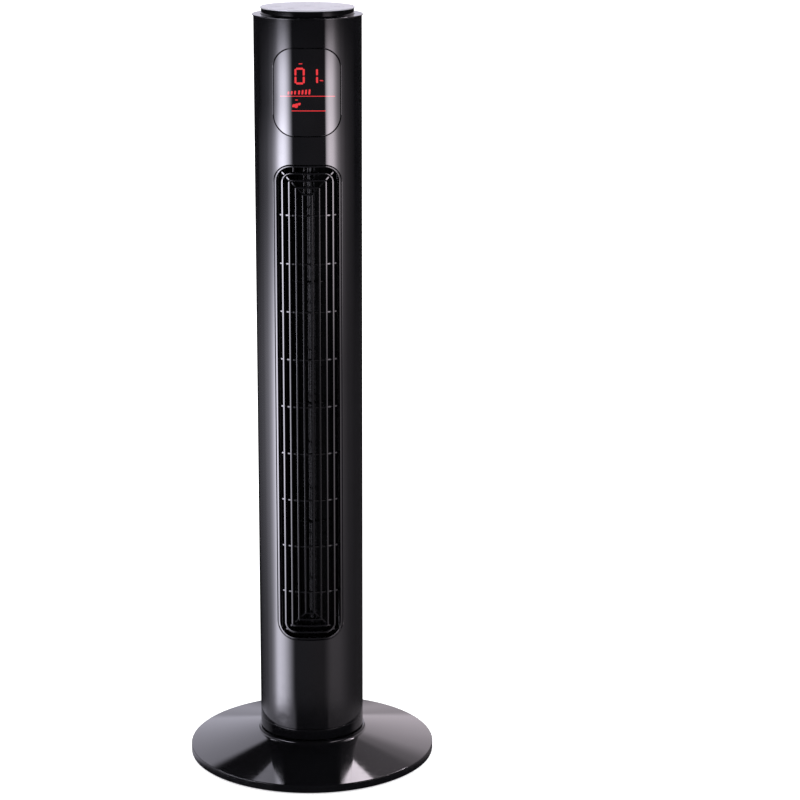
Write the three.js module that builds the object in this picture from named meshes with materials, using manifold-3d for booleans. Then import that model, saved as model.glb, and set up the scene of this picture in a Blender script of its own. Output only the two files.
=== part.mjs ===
// Tower fan: a round glossy column that turns on a wide, low base.
// Units are millimetres, +Z is up and the front of the fan faces -Y.
// The origin lies on the floor, on the axis that the column turns about.

import * as THREE from 'three';
import { mergeVertices } from 'three/addons/utils/BufferGeometryUtils.js';
import Module from 'manifold-3d';

const wasm = await Module();
wasm.setup();

// ---------------------------------------------------------------- driving dimensions

const OVERALL_HEIGHT = 960;
const COLUMN_RADIUS = 66;
const WALL = 2.5;
const SHELL_INNER = COLUMN_RADIUS - WALL;
const TOUCH = 0.3; // clearance left between two pieces that rest on each other

const BASE_RADIUS = 156.5;
const BASE_WALL = 3.2;
const FOOT_COUNT = 4;
const FOOT_CIRCLE = 138;
const PLATE_BOTTOM = 2;
const BASE_SCREW_CIRCLE = 110;
const COLLAR_RADIUS = 67.6;
const COLLAR_TOP = 35;

const RING_BOTTOM = 36.5;
const RING_TOP = 50;
const COLUMN_BOTTOM = 50.6;
const SHELL_TOP = 949.6;

const GRILLE_CENTRE = 473.2;
const GRILLE_HALF_HEIGHT = 302.3;
const GRILLE_HALF_WIDTH = 41.1;
const GRILLE_FRAME = 2.4;
const LOOP_PITCH = 8.55;
const LOOP_COUNT = 4;
const LOOP_CORNER = 19.5;
const BAR_WIDTH = 2.2;
const BAR_DEPTH = 5.2;
const RIB_PITCH = 60;
const RIB_COUNT = 9;
const REAR_RIB_PITCH = 120;
const REAR_RIB_COUNT = 5;
const RIB_HEIGHT = 1.9;
const RIB_FRONT = COLUMN_RADIUS - 4;
const RIB_DEPTH = 3.2;
const REAR_HALF_WIDTH = 46;
const REAR_CORNER = 12;

const WINDOW_HALF_WIDTH = 40.6;
const WINDOW_LOW = 810.2;
const WINDOW_HIGH = 916.1;
const WINDOW_CORNER = 25;
const WINDOW_GAP = 0.4;

const HANDLE_HALF_WIDTH = 46;
const HANDLE_LOW = 842;
const HANDLE_HIGH = 888;
const HANDLE_BACK = 28;
const HANDLE_WALL = 2.5;
const HANDLE_CORNER = 7.7;

const HOUSING_SCREW_X = 57;
const HOUSING_SCREW_HEIGHTS = [140, 800];

const BEZEL_RADIUS = 67.4;
const BEZEL_TOP = 951.3;
const HEAD_RADIUS = 56.5;
const HEAD_TOP = 958.2;
const PANEL_RADIUS = 57.4;
const PANEL_THICKNESS = 1.5;
const BUTTON_TRAVEL = 0.8;
const BUTTON_CIRCLE = 36;
const BUTTON_RADIUS = 7.6;
const POWER_BUTTON_RADIUS = 8.6;
// Angles are measured from the front, positive towards +X.
const BUTTONS = [
  { name: 'button_power', angle: 0, circle: 0, radius: POWER_BUTTON_RADIUS },
  { name: 'button_speed', angle: -84, circle: BUTTON_CIRCLE, radius: BUTTON_RADIUS },
  { name: 'button_timer', angle: -32, circle: BUTTON_CIRCLE, radius: BUTTON_RADIUS },
  { name: 'button_mode', angle: 32, circle: BUTTON_CIRCLE, radius: BUTTON_RADIUS },
  { name: 'button_swing', angle: 84, circle: BUTTON_CIRCLE, radius: BUTTON_RADIUS },
];

const AIR_AXIS_Y = 6; // the impeller and its motor sit this far behind the column's axis
const IMPELLER_RADIUS = 42;
const IMPELLER_LOW = 165;
const IMPELLER_HIGH = 780;
const IMPELLER_STAGES = 4;
const BLADE_COUNT = 12;
const BLADE_INNER = 33;
const BLADE_THICKNESS = 1.3;
const SHAFT_RADIUS = 4;
const MOTOR_RADIUS = 43;

const GEAR_MODULE = 1;
const SECTOR_TEETH = 72; // teeth that a full wheel of this pitch would have
const SECTOR_HALF_ANGLE = 46;
const PINION_TEETH = 18;
const BACKLASH = 0.3;
const GEAR_LOW = 43.1;
const GEAR_HIGH = 48.1;
const PINION_Y = (GEAR_MODULE * (SECTOR_TEETH + PINION_TEETH)) / 2;
const POST_RADIUS = 17.5;
const HUB_SCREW_CIRCLE = 54;

const GLAND_HEIGHT = 85;
const GLAND_BORE = 3.9;

// Facets per turn.
const ROUND = 48; // the column, the base and everything else that shows as a large round
const HIDDEN_ROUND = 32; // large rounds inside the column
const GRILLE_FACETS = 24; // the grilles, whose many bars would otherwise cost too many triangles
const MEDIUM = 16; // buttons, feet and the motor
const IMPELLER_FACETS = 24; // end discs and rings of the impeller
const SMALL = 8; // screws and their holes

// ---------------------------------------------------------------- finishes

function finish(color, roughness, metalness = 0) {
  return new THREE.MeshStandardMaterial({ color, roughness, metalness });
}

const GLOSS_BLACK = finish(0x0b0b0d, 0.08);
const SATIN_BLACK = finish(0x151517, 0.45);
const LENS_BLACK = finish(0x060607, 0.05);
const SILVER_PANEL = finish(0xc9c9ce, 0.3, 0.4);
const BUTTON_SILVER = finish(0xb9b9c2, 0.35, 0.3);
const RUBBER = finish(0x1c1c1c, 0.85);
const ZINC_STEEL = finish(0xa9adb0, 0.35, 1);
const LAMINATED_STEEL = finish(0x6f7478, 0.5, 1);
const COPPER_WIRE = finish(0xa8552c, 0.4, 1);
const BRONZE = finish(0x9a6b33, 0.4, 1);
const ACETAL_WHITE = finish(0xe6e4dc, 0.4);
const GREY_POLYPROPYLENE = finish(0x4b4d50, 0.55);
const GREEN_LAMINATE = finish(0x1d5a35, 0.5);
const LED_HOUSING = finish(0x241010, 0.5);
const FILM_CAPACITOR = finish(0x222a38, 0.45);

// ---------------------------------------------------------------- solids

// Signed volume of a triangle list, positive when its faces point outwards.
function signedVolume(positions, triangles) {
  const a = new THREE.Vector3();
  const b = new THREE.Vector3();
  const c = new THREE.Vector3();
  let total = 0;
  for (let i = 0; i < triangles.length; i += 3) {
    a.fromArray(positions, triangles[i] * 3);
    b.fromArray(positions, triangles[i + 1] * 3);
    c.fromArray(positions, triangles[i + 2] * 3);
    total += a.dot(b.cross(c)) / 6;
  }
  return total;
}

// Turns a closed three.js geometry into a solid that can be joined and cut.
function toSolid(geometry) {
  geometry.deleteAttribute('normal');
  geometry.deleteAttribute('uv');
  const merged = mergeVertices(geometry, 1e-4);
  const positions = merged.attributes.position.array;
  const index = merged.index.array;
  const triangles = [];
  for (let i = 0; i < index.length; i += 3) {
    const [a, b, c] = [index[i], index[i + 1], index[i + 2]];
    if (a !== b && b !== c && c !== a) {
      triangles.push(a, b, c);
    }
  }
  if (signedVolume(positions, triangles) < 0) {
    triangles.reverse();
  }
  const mesh = new wasm.Mesh({
    numProp: 3,
    vertProperties: Float32Array.from(positions),
    triVerts: Uint32Array.from(triangles),
  });
  return new wasm.Manifold(mesh);
}

function toGeometry(solid) {
  const mesh = solid.getMesh();
  const geometry = new THREE.BufferGeometry();
  geometry.setAttribute('position', new THREE.BufferAttribute(mesh.vertProperties, 3));
  geometry.setIndex(new THREE.BufferAttribute(mesh.triVerts, 1));
  geometry.computeVertexNormals();
  return geometry;
}

function join(solids) {
  return solids.reduce((whole, next) => whole.add(next));
}

function cut(solid, tools) {
  return tools.reduce((rest, tool) => rest.subtract(tool), solid);
}

// A closed [radius, height] outline turned about the Z axis.
function turned(outline, facets = ROUND) {
  const points = [...outline, outline[0]].map(([radius, height]) => new THREE.Vector2(radius, height));
  const geometry = new THREE.LatheGeometry(points, facets);
  geometry.rotateX(Math.PI / 2);
  return toSolid(geometry);
}

function disc(radius, low, high, facets = ROUND) {
  return turned([[0, low], [radius, low], [radius, high], [0, high]], facets);
}

function tube(inner, outer, low, high, facets = ROUND) {
  return turned([[inner, low], [outer, low], [outer, high], [inner, high]], facets);
}

// A round bar along Y, centred on (x, height).
function barAlongY(x, height, radius, nearY, farY, facets = SMALL) {
  const geometry = new THREE.CylinderGeometry(radius, radius, farY - nearY, facets);
  geometry.translate(x, (nearY + farY) / 2, height);
  return toSolid(geometry);
}

function block(low, high) {
  const size = high.map((value, i) => value - low[i]);
  const geometry = new THREE.BoxGeometry(...size);
  geometry.translate(...low.map((value, i) => value + size[i] / 2));
  return toSolid(geometry);
}

// An outline of [x, y] points raised from one height to another.
function raised(outline, low, high) {
  const shape = new THREE.Shape(outline.map(([x, y]) => new THREE.Vector2(x, y)));
  const geometry = new THREE.ExtrudeGeometry(shape, { depth: high - low, bevelEnabled: false });
  geometry.translate(0, 0, low);
  return toSolid(geometry);
}

// A rectangle with round corners in the X-Z plane, as a bar along Y from nearY to farY.
function roundedBar(halfWidth, low, high, corner, nearY, farY) {
  const shape = new THREE.Shape();
  const c = Math.max(corner, 0);
  if (c < 0.5) {
    shape.moveTo(-halfWidth, low);
    shape.lineTo(halfWidth, low);
    shape.lineTo(halfWidth, high);
    shape.lineTo(-halfWidth, high);
  } else {
    shape.moveTo(-halfWidth + c, low);
    shape.lineTo(halfWidth - c, low);
    shape.absarc(halfWidth - c, low + c, c, -Math.PI / 2, 0);
    shape.lineTo(halfWidth, high - c);
    shape.absarc(halfWidth - c, high - c, c, 0, Math.PI / 2);
    shape.lineTo(-halfWidth + c, high);
    shape.absarc(-halfWidth + c, high - c, c, Math.PI / 2, Math.PI);
    shape.lineTo(-halfWidth, low + c);
    shape.absarc(-halfWidth + c, low + c, c, Math.PI, Math.PI * 1.5);
  }
  const geometry = new THREE.ExtrudeGeometry(shape, {
    depth: farY - nearY,
    bevelEnabled: false,
    curveSegments: 4,
  });
  geometry.rotateX(Math.PI / 2);
  geometry.translate(0, farY, 0);
  return toSolid(geometry);
}

// Half-plane blocks that split a round shell into its front and its rear half.
const FRONT_HALF = block([-80, -80, 0], [80, -TOUCH / 2, 1000]);
const REAR_HALF = block([-80, TOUCH / 2, 0], [80, 80, 1000]);

function atFront(angle, circle) {
  const turn = THREE.MathUtils.degToRad(angle);
  return [circle * Math.sin(turn), -circle * Math.cos(turn), 0];
}

function onCircle(angle, circle) {
  const turn = THREE.MathUtils.degToRad(angle);
  return [circle * Math.cos(turn), circle * Math.sin(turn), 0];
}

// A pan-head screw standing on its point: the head's underside is at height seat.
function screw(shankRadius, headRadius, tip, seat, headTop) {
  return turned([
    [0, tip], [shankRadius, tip + 1], [shankRadius, seat], [headRadius, seat],
    [headRadius, headTop - 0.6], [headRadius - 0.8, headTop], [0, headTop],
  ], SMALL);
}

// ---------------------------------------------------------------- the base

const FOOT_ANGLES = Array.from({ length: FOOT_COUNT }, (_, i) => 45 + (360 / FOOT_COUNT) * i);
const BASE_SCREW_ANGLES = [30, 150, 270];
const HUB_SCREW_ANGLES = [15, 165, 270];
const SCREW_HOLE = 2.3;
const BASE_BOSS_RADIUS = 5;

// The same small round hole at every screw of a circle.
function screwHoles(angles, circle, low, high) {
  return angles.map((angle) => disc(SCREW_HOLE, low, high, SMALL).translate(onCircle(angle, circle)));
}

// Low cone with a rounded rim, sweeping up into the collar under the column.
function baseCover() {
  const sweep = new THREE.QuadraticBezierCurve(
    new THREE.Vector2(78, 28),
    new THREE.Vector2(71.5, 29.4),
    new THREE.Vector2(COLLAR_RADIUS, COLLAR_TOP - 0.7),
  );
  const shell = turned([
    [BASE_RADIUS, PLATE_BOTTOM], [BASE_RADIUS - 0.5, 11.2], [BASE_RADIUS - 1.9, 12.5],
    ...sweep.getPoints(3).map((point) => [point.x, point.y]),
    [COLLAR_RADIUS - 0.7, COLLAR_TOP], [62, COLLAR_TOP], [62, COLLAR_TOP + 1.2], [50, COLLAR_TOP + 1.2],
    [50, 33.2], [62, 32], [77, 25.2], [BASE_RADIUS - BASE_WALL, 9.3], [BASE_RADIUS - BASE_WALL, PLATE_BOTTOM],
  ]);
  const bosses = BASE_SCREW_ANGLES.map((angle) => (
    disc(BASE_BOSS_RADIUS, 4.4, 20, SMALL).translate(onCircle(angle, BASE_SCREW_CIRCLE))));
  const pilots = screwHoles(BASE_SCREW_ANGLES, BASE_SCREW_CIRCLE, 4, 14);
  const landHoles = screwHoles(HUB_SCREW_ANGLES, HUB_SCREW_CIRCLE, 30, 38);
  return cut(join([shell, ...bosses]), [...pilots, ...landHoles]);
}

function baseUnderplate() {
  const holes = screwHoles(BASE_SCREW_ANGLES, BASE_SCREW_CIRCLE, 0, 6);
  return cut(disc(BASE_RADIUS - BASE_WALL - 0.4, PLATE_BOTTOM, 4), holes);
}

function rubberFoot() {
  return turned([[0, 0], [8.4, 0], [9, 0.6], [9, PLATE_BOTTOM - TOUCH], [0, PLATE_BOTTOM - TOUCH]], MEDIUM);
}

// Glossy ring between the base and the column, with an inner ledge for the slide ring.
function swivelRing() {
  const ring = turned([
    [COLUMN_RADIUS, RING_BOTTOM], [COLUMN_RADIUS, RING_TOP], [63, RING_TOP], [63, 47], [57.5, 47],
    [57.5, 39.5], [50.3, 39.5], [50.3, RING_BOTTOM],
  ]);
  const holes = screwHoles(HUB_SCREW_ANGLES, HUB_SCREW_CIRCLE, 36, 40);
  return cut(ring, holes);
}

// Flanged hollow post that the column turns about.
function swivelHub() {
  const hub = turned([
    [11, 39.8], [57.2, 39.8], [57.2, 42.8], [POST_RADIUS, 42.8], [POST_RADIUS, 66.3], [11, 66.3],
  ], MEDIUM);
  const holes = screwHoles(HUB_SCREW_ANGLES, HUB_SCREW_CIRCLE, 39, 44);
  return cut(hub, holes);
}

// Involute function of a pressure angle.
function involute(angle) {
  return Math.tan(angle) - angle;
}

// The outline of one spur tooth about the +X direction, from its left root to its right root.
function toothOutline(teeth) {
  const pitchRadius = (GEAR_MODULE * teeth) / 2;
  const pressure = THREE.MathUtils.degToRad(20);
  const baseRadius = pitchRadius * Math.cos(pressure);
  const root = pitchRadius - 1.25 * GEAR_MODULE;
  const tip = pitchRadius + GEAR_MODULE;
  const pitchHalf = Math.PI / (2 * teeth) - BACKLASH / (4 * pitchRadius);
  const flankAngle = (radius) => {
    const local = Math.acos(Math.min(1, baseRadius / Math.max(radius, baseRadius)));
    return pitchHalf + involute(pressure) - involute(local);
  };
  const radii = [root, pitchRadius, tip];
  const rising = radii.map((radius) => [radius, -flankAngle(radius)]);
  const falling = [...radii].reverse().map((radius) => [radius, flankAngle(radius)]);
  return [...rising, ...falling];
}

// Teeth at the given angles (degrees) on a wheel with the root circle between them.
function gearOutline(teeth, angles) {
  const root = (GEAR_MODULE * teeth) / 2 - 1.25 * GEAR_MODULE;
  const tooth = toothOutline(teeth);
  const points = [];
  angles.forEach((degrees) => {
    const turn = THREE.MathUtils.degToRad(degrees);
    tooth.forEach(([radius, angle]) => {
      points.push([radius * Math.cos(turn + angle), radius * Math.sin(turn + angle)]);
    });
  });
  const first = angles[0];
  const last = angles[angles.length - 1];
  const step = 360 / teeth;
  for (let degrees = last + step; degrees < first + 360 - step / 2; degrees += step * 2) {
    points.push(onCircle(degrees, root).slice(0, 2));
  }
  return points;
}

// Fixed toothed sector, with its teeth towards the rear.
function sectorGear() {
  const step = 360 / SECTOR_TEETH;
  const angles = [];
  for (let offset = -Math.floor(SECTOR_HALF_ANGLE / step); offset <= SECTOR_HALF_ANGLE / step; offset += 1) {
    angles.push(90 + offset * step);
  }
  const wheel = raised(gearOutline(SECTOR_TEETH, angles), GEAR_LOW, GEAR_HIGH);
  return cut(wheel, [disc(POST_RADIUS + TOUCH, GEAR_LOW - 1, GEAR_HIGH + 1, MEDIUM)]);
}

function addBase(base) {
  addPiece(base, 'base_cover', baseCover(), GLOSS_BLACK);
  addPiece(base, 'base_underplate', baseUnderplate(), SATIN_BLACK);
  FOOT_ANGLES.forEach((angle, i) => {
    addPiece(base, `rubber_foot_${i + 1}`, rubberFoot(), RUBBER, onCircle(angle, FOOT_CIRCLE));
  });
  BASE_SCREW_ANGLES.forEach((angle, i) => {
    const upward = screw(2, 4, -12, -PLATE_BOTTOM + TOUCH, -0.6).rotate([180, 0, 0]);
    addPiece(base, `base_screw_${i + 1}`, upward, ZINC_STEEL, onCircle(angle, BASE_SCREW_CIRCLE));
  });
  addPiece(base, 'swivel_ring', swivelRing(), GLOSS_BLACK);
  addPiece(base, 'swivel_hub', swivelHub(), SATIN_BLACK);
  addPiece(base, 'sector_gear', sectorGear(), ACETAL_WHITE);
  addPiece(base, 'slide_ring', tube(57.8, 62.6, 47.3, 49.3, HIDDEN_ROUND), ACETAL_WHITE);
  addPiece(base, 'retaining_nut', tube(POST_RADIUS + TOUCH, 27, 61.8, 66, MEDIUM), ZINC_STEEL);
  HUB_SCREW_ANGLES.forEach((angle, i) => {
    addPiece(base, `hub_screw_${i + 1}`, screw(2, 3, 34.6, 43.1, 45.1), ZINC_STEEL,
      onCircle(angle, HUB_SCREW_CIRCLE));
  });
}

// ---------------------------------------------------------------- the column's shells

// Inner ribs that carry the turning plate and the two ends of the air duct.
function shellLedges() {
  return [54.5, 149.7, 782.2].map((low) => tube(60.5, SHELL_INNER + 0.5, low, low + 2.5));
}

// Where the four screws that hold the two shells together stand, as [x, height].
const HOUSING_SCREW_PLACES = HOUSING_SCREW_HEIGHTS.flatMap((height) => (
  [[-HOUSING_SCREW_X, height], [HOUSING_SCREW_X, height]]));
const HOUSING_BOSS_RADIUS = 4;
const HOUSING_SLEEVE_RADIUS = 4.8;
const HOUSING_HEAD_WELL = 3.4;
const HOUSING_THREAD = 1.8;

// A bar along Y at every housing screw.
function housingBars(radius, nearY, farY) {
  return HOUSING_SCREW_PLACES.map(([x, height]) => barAlongY(x, height, radius, nearY, farY));
}

// An upright opening in the shells, centred on the grilles' height.
function grilleOpening(halfWidth, corner, nearY, farY) {
  const low = GRILLE_CENTRE - GRILLE_HALF_HEIGHT;
  return roundedBar(halfWidth, low, low + 2 * GRILLE_HALF_HEIGHT, corner, nearY, farY);
}

function frontHousing() {
  const shell = join([tube(SHELL_INNER, COLUMN_RADIUS, COLUMN_BOTTOM, SHELL_TOP), ...shellLedges()]);
  const within = disc(COLUMN_RADIUS - 0.5, COLUMN_BOTTOM, SHELL_TOP);
  const bosses = housingBars(HOUSING_BOSS_RADIUS, -40, -TOUCH / 2).map((boss) => boss.intersect(within));
  const pilots = housingBars(HOUSING_THREAD, -11, 1);
  const windows = [
    grilleOpening(GRILLE_HALF_WIDTH, LOOP_CORNER + 2.5, -80, -10),
    roundedBar(WINDOW_HALF_WIDTH, WINDOW_LOW, WINDOW_HIGH, WINDOW_CORNER, -80, -10),
  ];
  return cut(join([shell.intersect(FRONT_HALF), ...bosses]), [...windows, ...pilots]);
}

function rearHousing() {
  const shell = tube(SHELL_INNER, COLUMN_RADIUS, COLUMN_BOTTOM, SHELL_TOP);
  const within = disc(COLUMN_RADIUS - 0.5, COLUMN_BOTTOM, SHELL_TOP);
  const sleeves = housingBars(HOUSING_SLEEVE_RADIUS, TOUCH / 2, 40).map((sleeve) => sleeve.intersect(within));
  const wells = housingBars(HOUSING_HEAD_WELL, 6, 60);
  const clearances = housingBars(HOUSING_THREAD, -1, 7);
  const openings = [
    grilleOpening(REAR_HALF_WIDTH, REAR_CORNER, 10, 80),
    roundedBar(HANDLE_HALF_WIDTH, HANDLE_LOW, HANDLE_HIGH, HANDLE_CORNER + TOUCH, 10, 80),
    barAlongY(0, GLAND_HEIGHT, 6.9, 50, 80, MEDIUM),
  ];
  return cut(join([shell.intersect(REAR_HALF), ...sleeves]), [...openings, ...wells, ...clearances]);
}

// A closed loop of bar: a round-cornered frame of the given bar width.
function loopBar(halfWidth, low, high, corner, width, nearY, farY) {
  const half = width / 2;
  const outer = roundedBar(halfWidth + half, low - half, high + half, corner + half, nearY, farY);
  const inner = roundedBar(halfWidth - half, low + half, high - half, corner - half, nearY - 1, farY + 1);
  return outer.subtract(inner);
}

function ribHeights(count, pitch) {
  return Array.from({ length: count }, (_, i) => GRILLE_CENTRE + (i - (count - 1) / 2) * pitch);
}

// Outlet grille: bars in nested loops, stiffened from behind by ribs and corner struts.
function frontGrille() {
  const edgeHalf = GRILLE_HALF_WIDTH - WINDOW_GAP - GRILLE_FRAME / 2;
  const edgeHeight = GRILLE_HALF_HEIGHT - WINDOW_GAP - GRILLE_FRAME / 2;
  const loops = Array.from({ length: LOOP_COUNT + 1 }, (_, i) => loopBar(
    edgeHalf - LOOP_PITCH * i,
    GRILLE_CENTRE - edgeHeight + LOOP_PITCH * i,
    GRILLE_CENTRE + edgeHeight - LOOP_PITCH * i,
    LOOP_CORNER - LOOP_PITCH * i,
    i === 0 ? GRILLE_FRAME : BAR_WIDTH,
    -80, -20,
  ));
  const barShell = tube(COLUMN_RADIUS - BAR_DEPTH, COLUMN_RADIUS, 100, 900, GRILLE_FACETS);
  const ribs = ribHeights(RIB_COUNT, RIB_PITCH).map((height) => block(
    [-edgeHalf, -80, height - RIB_HEIGHT / 2], [edgeHalf, -20, height + RIB_HEIGHT / 2]));
  const strutLength = (edgeHalf - 6) * Math.SQRT2;
  const struts = [[1, 1], [1, -1], [-1, 1], [-1, -1]].map(([side, end]) => {
    const middle = (edgeHalf - 6) / 2;
    const reach = GRILLE_CENTRE + end * (edgeHeight - 6 - middle);
    return block([-strutLength / 2, -80, -0.9], [strutLength / 2, -20, 0.9])
      .rotate([0, -45 * side * end, 0])
      .translate([side * middle, 0, reach]);
  });
  const top = GRILLE_CENTRE + edgeHeight;
  const ties = [
    block([-18, -80, top - LOOP_PITCH], [-16.2, -20, top]),
    block([-4.9, -80, top - LOOP_PITCH * LOOP_COUNT], [-3.1, -20, top]),
  ];
  const ribShell = tube(RIB_FRONT - RIB_DEPTH, RIB_FRONT, 100, 900, GRILLE_FACETS);
  const backing = join([...ribs, ...struts, ...ties]).intersect(ribShell);
  return join(loops).intersect(barShell).add(backing);
}

// Inlet grille in the rear shell: upright bars crossed by ribs.
function rearGrille() {
  const half = REAR_HALF_WIDTH - WINDOW_GAP - GRILLE_FRAME / 2;
  const height = GRILLE_HALF_HEIGHT - WINDOW_GAP - GRILLE_FRAME / 2;
  const low = GRILLE_CENTRE - height;
  const high = GRILLE_CENTRE + height;
  const edge = loopBar(half, low, high, REAR_CORNER - 1.6, GRILLE_FRAME, 20, 80);
  const bars = [-4, -3, -2, -1, 0, 1, 2, 3, 4].map((place) => block(
    [place * LOOP_PITCH - BAR_WIDTH / 2, 20, low],
    [place * LOOP_PITCH + BAR_WIDTH / 2, 80, high],
  ));
  const ribs = ribHeights(REAR_RIB_COUNT, REAR_RIB_PITCH).map((middle) => block(
    [-half, 20, middle - RIB_HEIGHT / 2], [half, 80, middle + RIB_HEIGHT / 2]));
  const barShell = tube(COLUMN_RADIUS - BAR_DEPTH, COLUMN_RADIUS, 100, 900, GRILLE_FACETS);
  const ribShell = tube(RIB_FRONT - RIB_DEPTH, RIB_FRONT, 100, 900, GRILLE_FACETS);
  return join([edge, ...bars]).intersect(barShell).add(join(ribs).intersect(ribShell));
}

function displayLens() {
  const outline = roundedBar(
    WINDOW_HALF_WIDTH - WINDOW_GAP, WINDOW_LOW + WINDOW_GAP, WINDOW_HIGH - WINDOW_GAP,
    WINDOW_CORNER - WINDOW_GAP, -80, -20,
  );
  return outline.intersect(tube(COLUMN_RADIUS - 2.2, COLUMN_RADIUS, 700, 940));
}

// Recess in the rear shell that a hand reaches into to lift the fan.
function handleCup() {
  const pocket = (inset, corner, back, far) => roundedBar(
    HANDLE_HALF_WIDTH - inset, HANDLE_LOW + inset, HANDLE_HIGH - inset, corner, back, far);
  const outer = pocket(TOUCH, HANDLE_CORNER, HANDLE_BACK, 80);
  const inset = TOUCH + HANDLE_WALL;
  const hollow = pocket(inset, HANDLE_CORNER - HANDLE_WALL, HANDLE_BACK + HANDLE_WALL, 90);
  return outer.intersect(disc(COLUMN_RADIUS, 800, 900)).subtract(hollow);
}

function cordGland() {
  return turned([
    [GLAND_BORE, 59], [8.5, 59], [8.5, 62.4], [6.5, 62.4], [6.5, 66.3], [9, 66.3],
    [9, 67.8], [8, 68.8], [GLAND_BORE, 68.8],
  ], MEDIUM).rotate([-90, 0, 0]).translate([0, 0, GLAND_HEIGHT]);
}

function housingScrew() {
  return screw(1.5, 2.9, -9, 6.3, 8.3).rotate([-90, 0, 0]);
}

function addShells(tower) {
  addPiece(tower, 'front_housing', frontHousing(), GLOSS_BLACK);
  addPiece(tower, 'rear_housing', rearHousing(), GLOSS_BLACK);
  addPiece(tower, 'front_grille', frontGrille(), GLOSS_BLACK);
  addPiece(tower, 'rear_grille', rearGrille(), SATIN_BLACK);
  addPiece(tower, 'display_lens', displayLens(), LENS_BLACK);
  addPiece(tower, 'handle_cup', handleCup(), SATIN_BLACK);
  addPiece(tower, 'cord_gland', cordGland(), RUBBER);
  HOUSING_SCREW_HEIGHTS.forEach((height, row) => {
    [-1, 1].forEach((side, i) => {
      addPiece(tower, `housing_screw_${row * 2 + i + 1}`, housingScrew(), ZINC_STEEL,
        [side * HOUSING_SCREW_X, 0, height]);
    });
  });
}

// ---------------------------------------------------------------- the head and its controls

// Flared lip that finishes the two shells at the top.
function topBezel() {
  return turned([
    [57.2, BEZEL_TOP], [57.2, 948.3], [60.2, 948.3], [60.2, 938], [63.2, 938], [63.2, 949.9],
    [BEZEL_RADIUS - 0.3, 949.9], [BEZEL_RADIUS, 950.6], [BEZEL_RADIUS - 0.4, BEZEL_TOP],
  ]);
}

function controlHead() {
  return turned([
    [HEAD_RADIUS, HEAD_TOP], [HEAD_RADIUS - 3, HEAD_TOP], [HEAD_RADIUS - 3, 940.2], [20, 940.2], [20, 938],
    [HEAD_RADIUS, 938], [HEAD_RADIUS, 945.5], [59.9, 945.5], [59.9, 948], [HEAD_RADIUS, 948],
  ], HIDDEN_ROUND);
}

function controlPanel() {
  const low = OVERALL_HEIGHT - PANEL_THICKNESS;
  const holes = BUTTONS.map(({ angle, circle, radius }) => (
    disc(radius + 0.4, low - 1, OVERALL_HEIGHT + 1, MEDIUM).translate(atFront(angle, circle))));
  const plate = turned([
    [0, low], [PANEL_RADIUS, low], [PANEL_RADIUS, OVERALL_HEIGHT - 0.4], [PANEL_RADIUS - 0.4, OVERALL_HEIGHT],
    [0, OVERALL_HEIGHT],
  ]);
  return cut(plate, holes);
}

const BOARD_TOP = 942.6;
const SWITCH_TOP = 947;
const BUTTON_STEM_RADIUS = 2.5;

function controlBoard() {
  const switches = BUTTONS.flatMap(({ angle, circle }) => {
    const place = atFront(angle, circle);
    return [
      block([-3, -3, BOARD_TOP - 0.5], [3, 3, BOARD_TOP + 3.5]).translate(place),
      disc(1.75, BOARD_TOP + 3, SWITCH_TOP, SMALL).translate(place),
    ];
  });
  return join([disc(52.8, 941, BOARD_TOP, MEDIUM), ...switches]);
}

// Push button: a cap flush with the panel, a flange that holds it in, and a stem over its switch.
function pushButton(radius) {
  const panelUnderside = OVERALL_HEIGHT - PANEL_THICKNESS;
  const flangeTop = panelUnderside - TOUCH;
  const stemEnd = SWITCH_TOP + BUTTON_TRAVEL + TOUCH;
  return turned([
    [0, stemEnd], [BUTTON_STEM_RADIUS, stemEnd], [BUTTON_STEM_RADIUS, flangeTop - 1.5],
    [radius + 1.4, flangeTop - 1.5], [radius + 1.4, flangeTop], [radius, flangeTop], [radius, OVERALL_HEIGHT],
    [0, OVERALL_HEIGHT],
  ], MEDIUM);
}

function addHead(tower) {
  addPiece(tower, 'top_bezel', topBezel(), GLOSS_BLACK);
  addPiece(tower, 'control_head', controlHead(), SATIN_BLACK);
  addPiece(tower, 'control_panel', controlPanel(), SILVER_PANEL);
  addPiece(tower, 'control_board', controlBoard(), GREEN_LAMINATE);
  BUTTONS.forEach(({ name, angle, circle, radius }) => {
    addPiece(tower, name, pushButton(radius), BUTTON_SILVER, atFront(angle, circle));
  });
}

// ---------------------------------------------------------------- electronics

function addElectronics(tower) {
  addPiece(tower, 'display_module', block([-34, -51.3, 832], [34, -43.3, 898]), LED_HOUSING);
  addPiece(tower, 'display_board', block([-44, -43, 815], [44, -41.4, 911]), GREEN_LAMINATE);
  addPiece(tower, 'ir_receiver', block([37.5, -46.5, 878], [42.5, -43.3, 885]), LENS_BLACK);
  addPiece(tower, 'power_board', block([-42, 8, 806], [42, 9.6, 926]), GREEN_LAMINATE);
  addPiece(tower, 'motor_capacitor', block([-18.5, -9, 850], [18.5, 7.7, 876]), FILM_CAPACITOR);
}

// ---------------------------------------------------------------- the air path and its motor

// A bent sheet of constant thickness that follows a path seen from above.
function bentSheet(path, thickness, low, high) {
  const side = (point, i, sign) => {
    const before = path[Math.max(i - 1, 0)];
    const after = path[Math.min(i + 1, path.length - 1)];
    const run = new THREE.Vector2(after.x - before.x, after.y - before.y).normalize();
    return [point.x - sign * run.y * (thickness / 2), point.y + sign * run.x * (thickness / 2)];
  };
  const left = path.map((point, i) => side(point, i, 1));
  const right = path.map((point, i) => side(point, i, -1)).reverse();
  return raised([...left, ...right], low, high);
}

const DUCT_LOW = 152.5;
const DUCT_PLATE = 2.5;
const DUCT_HIGH = 785;
const DUCT_END_RADIUS = 62.8;

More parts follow.
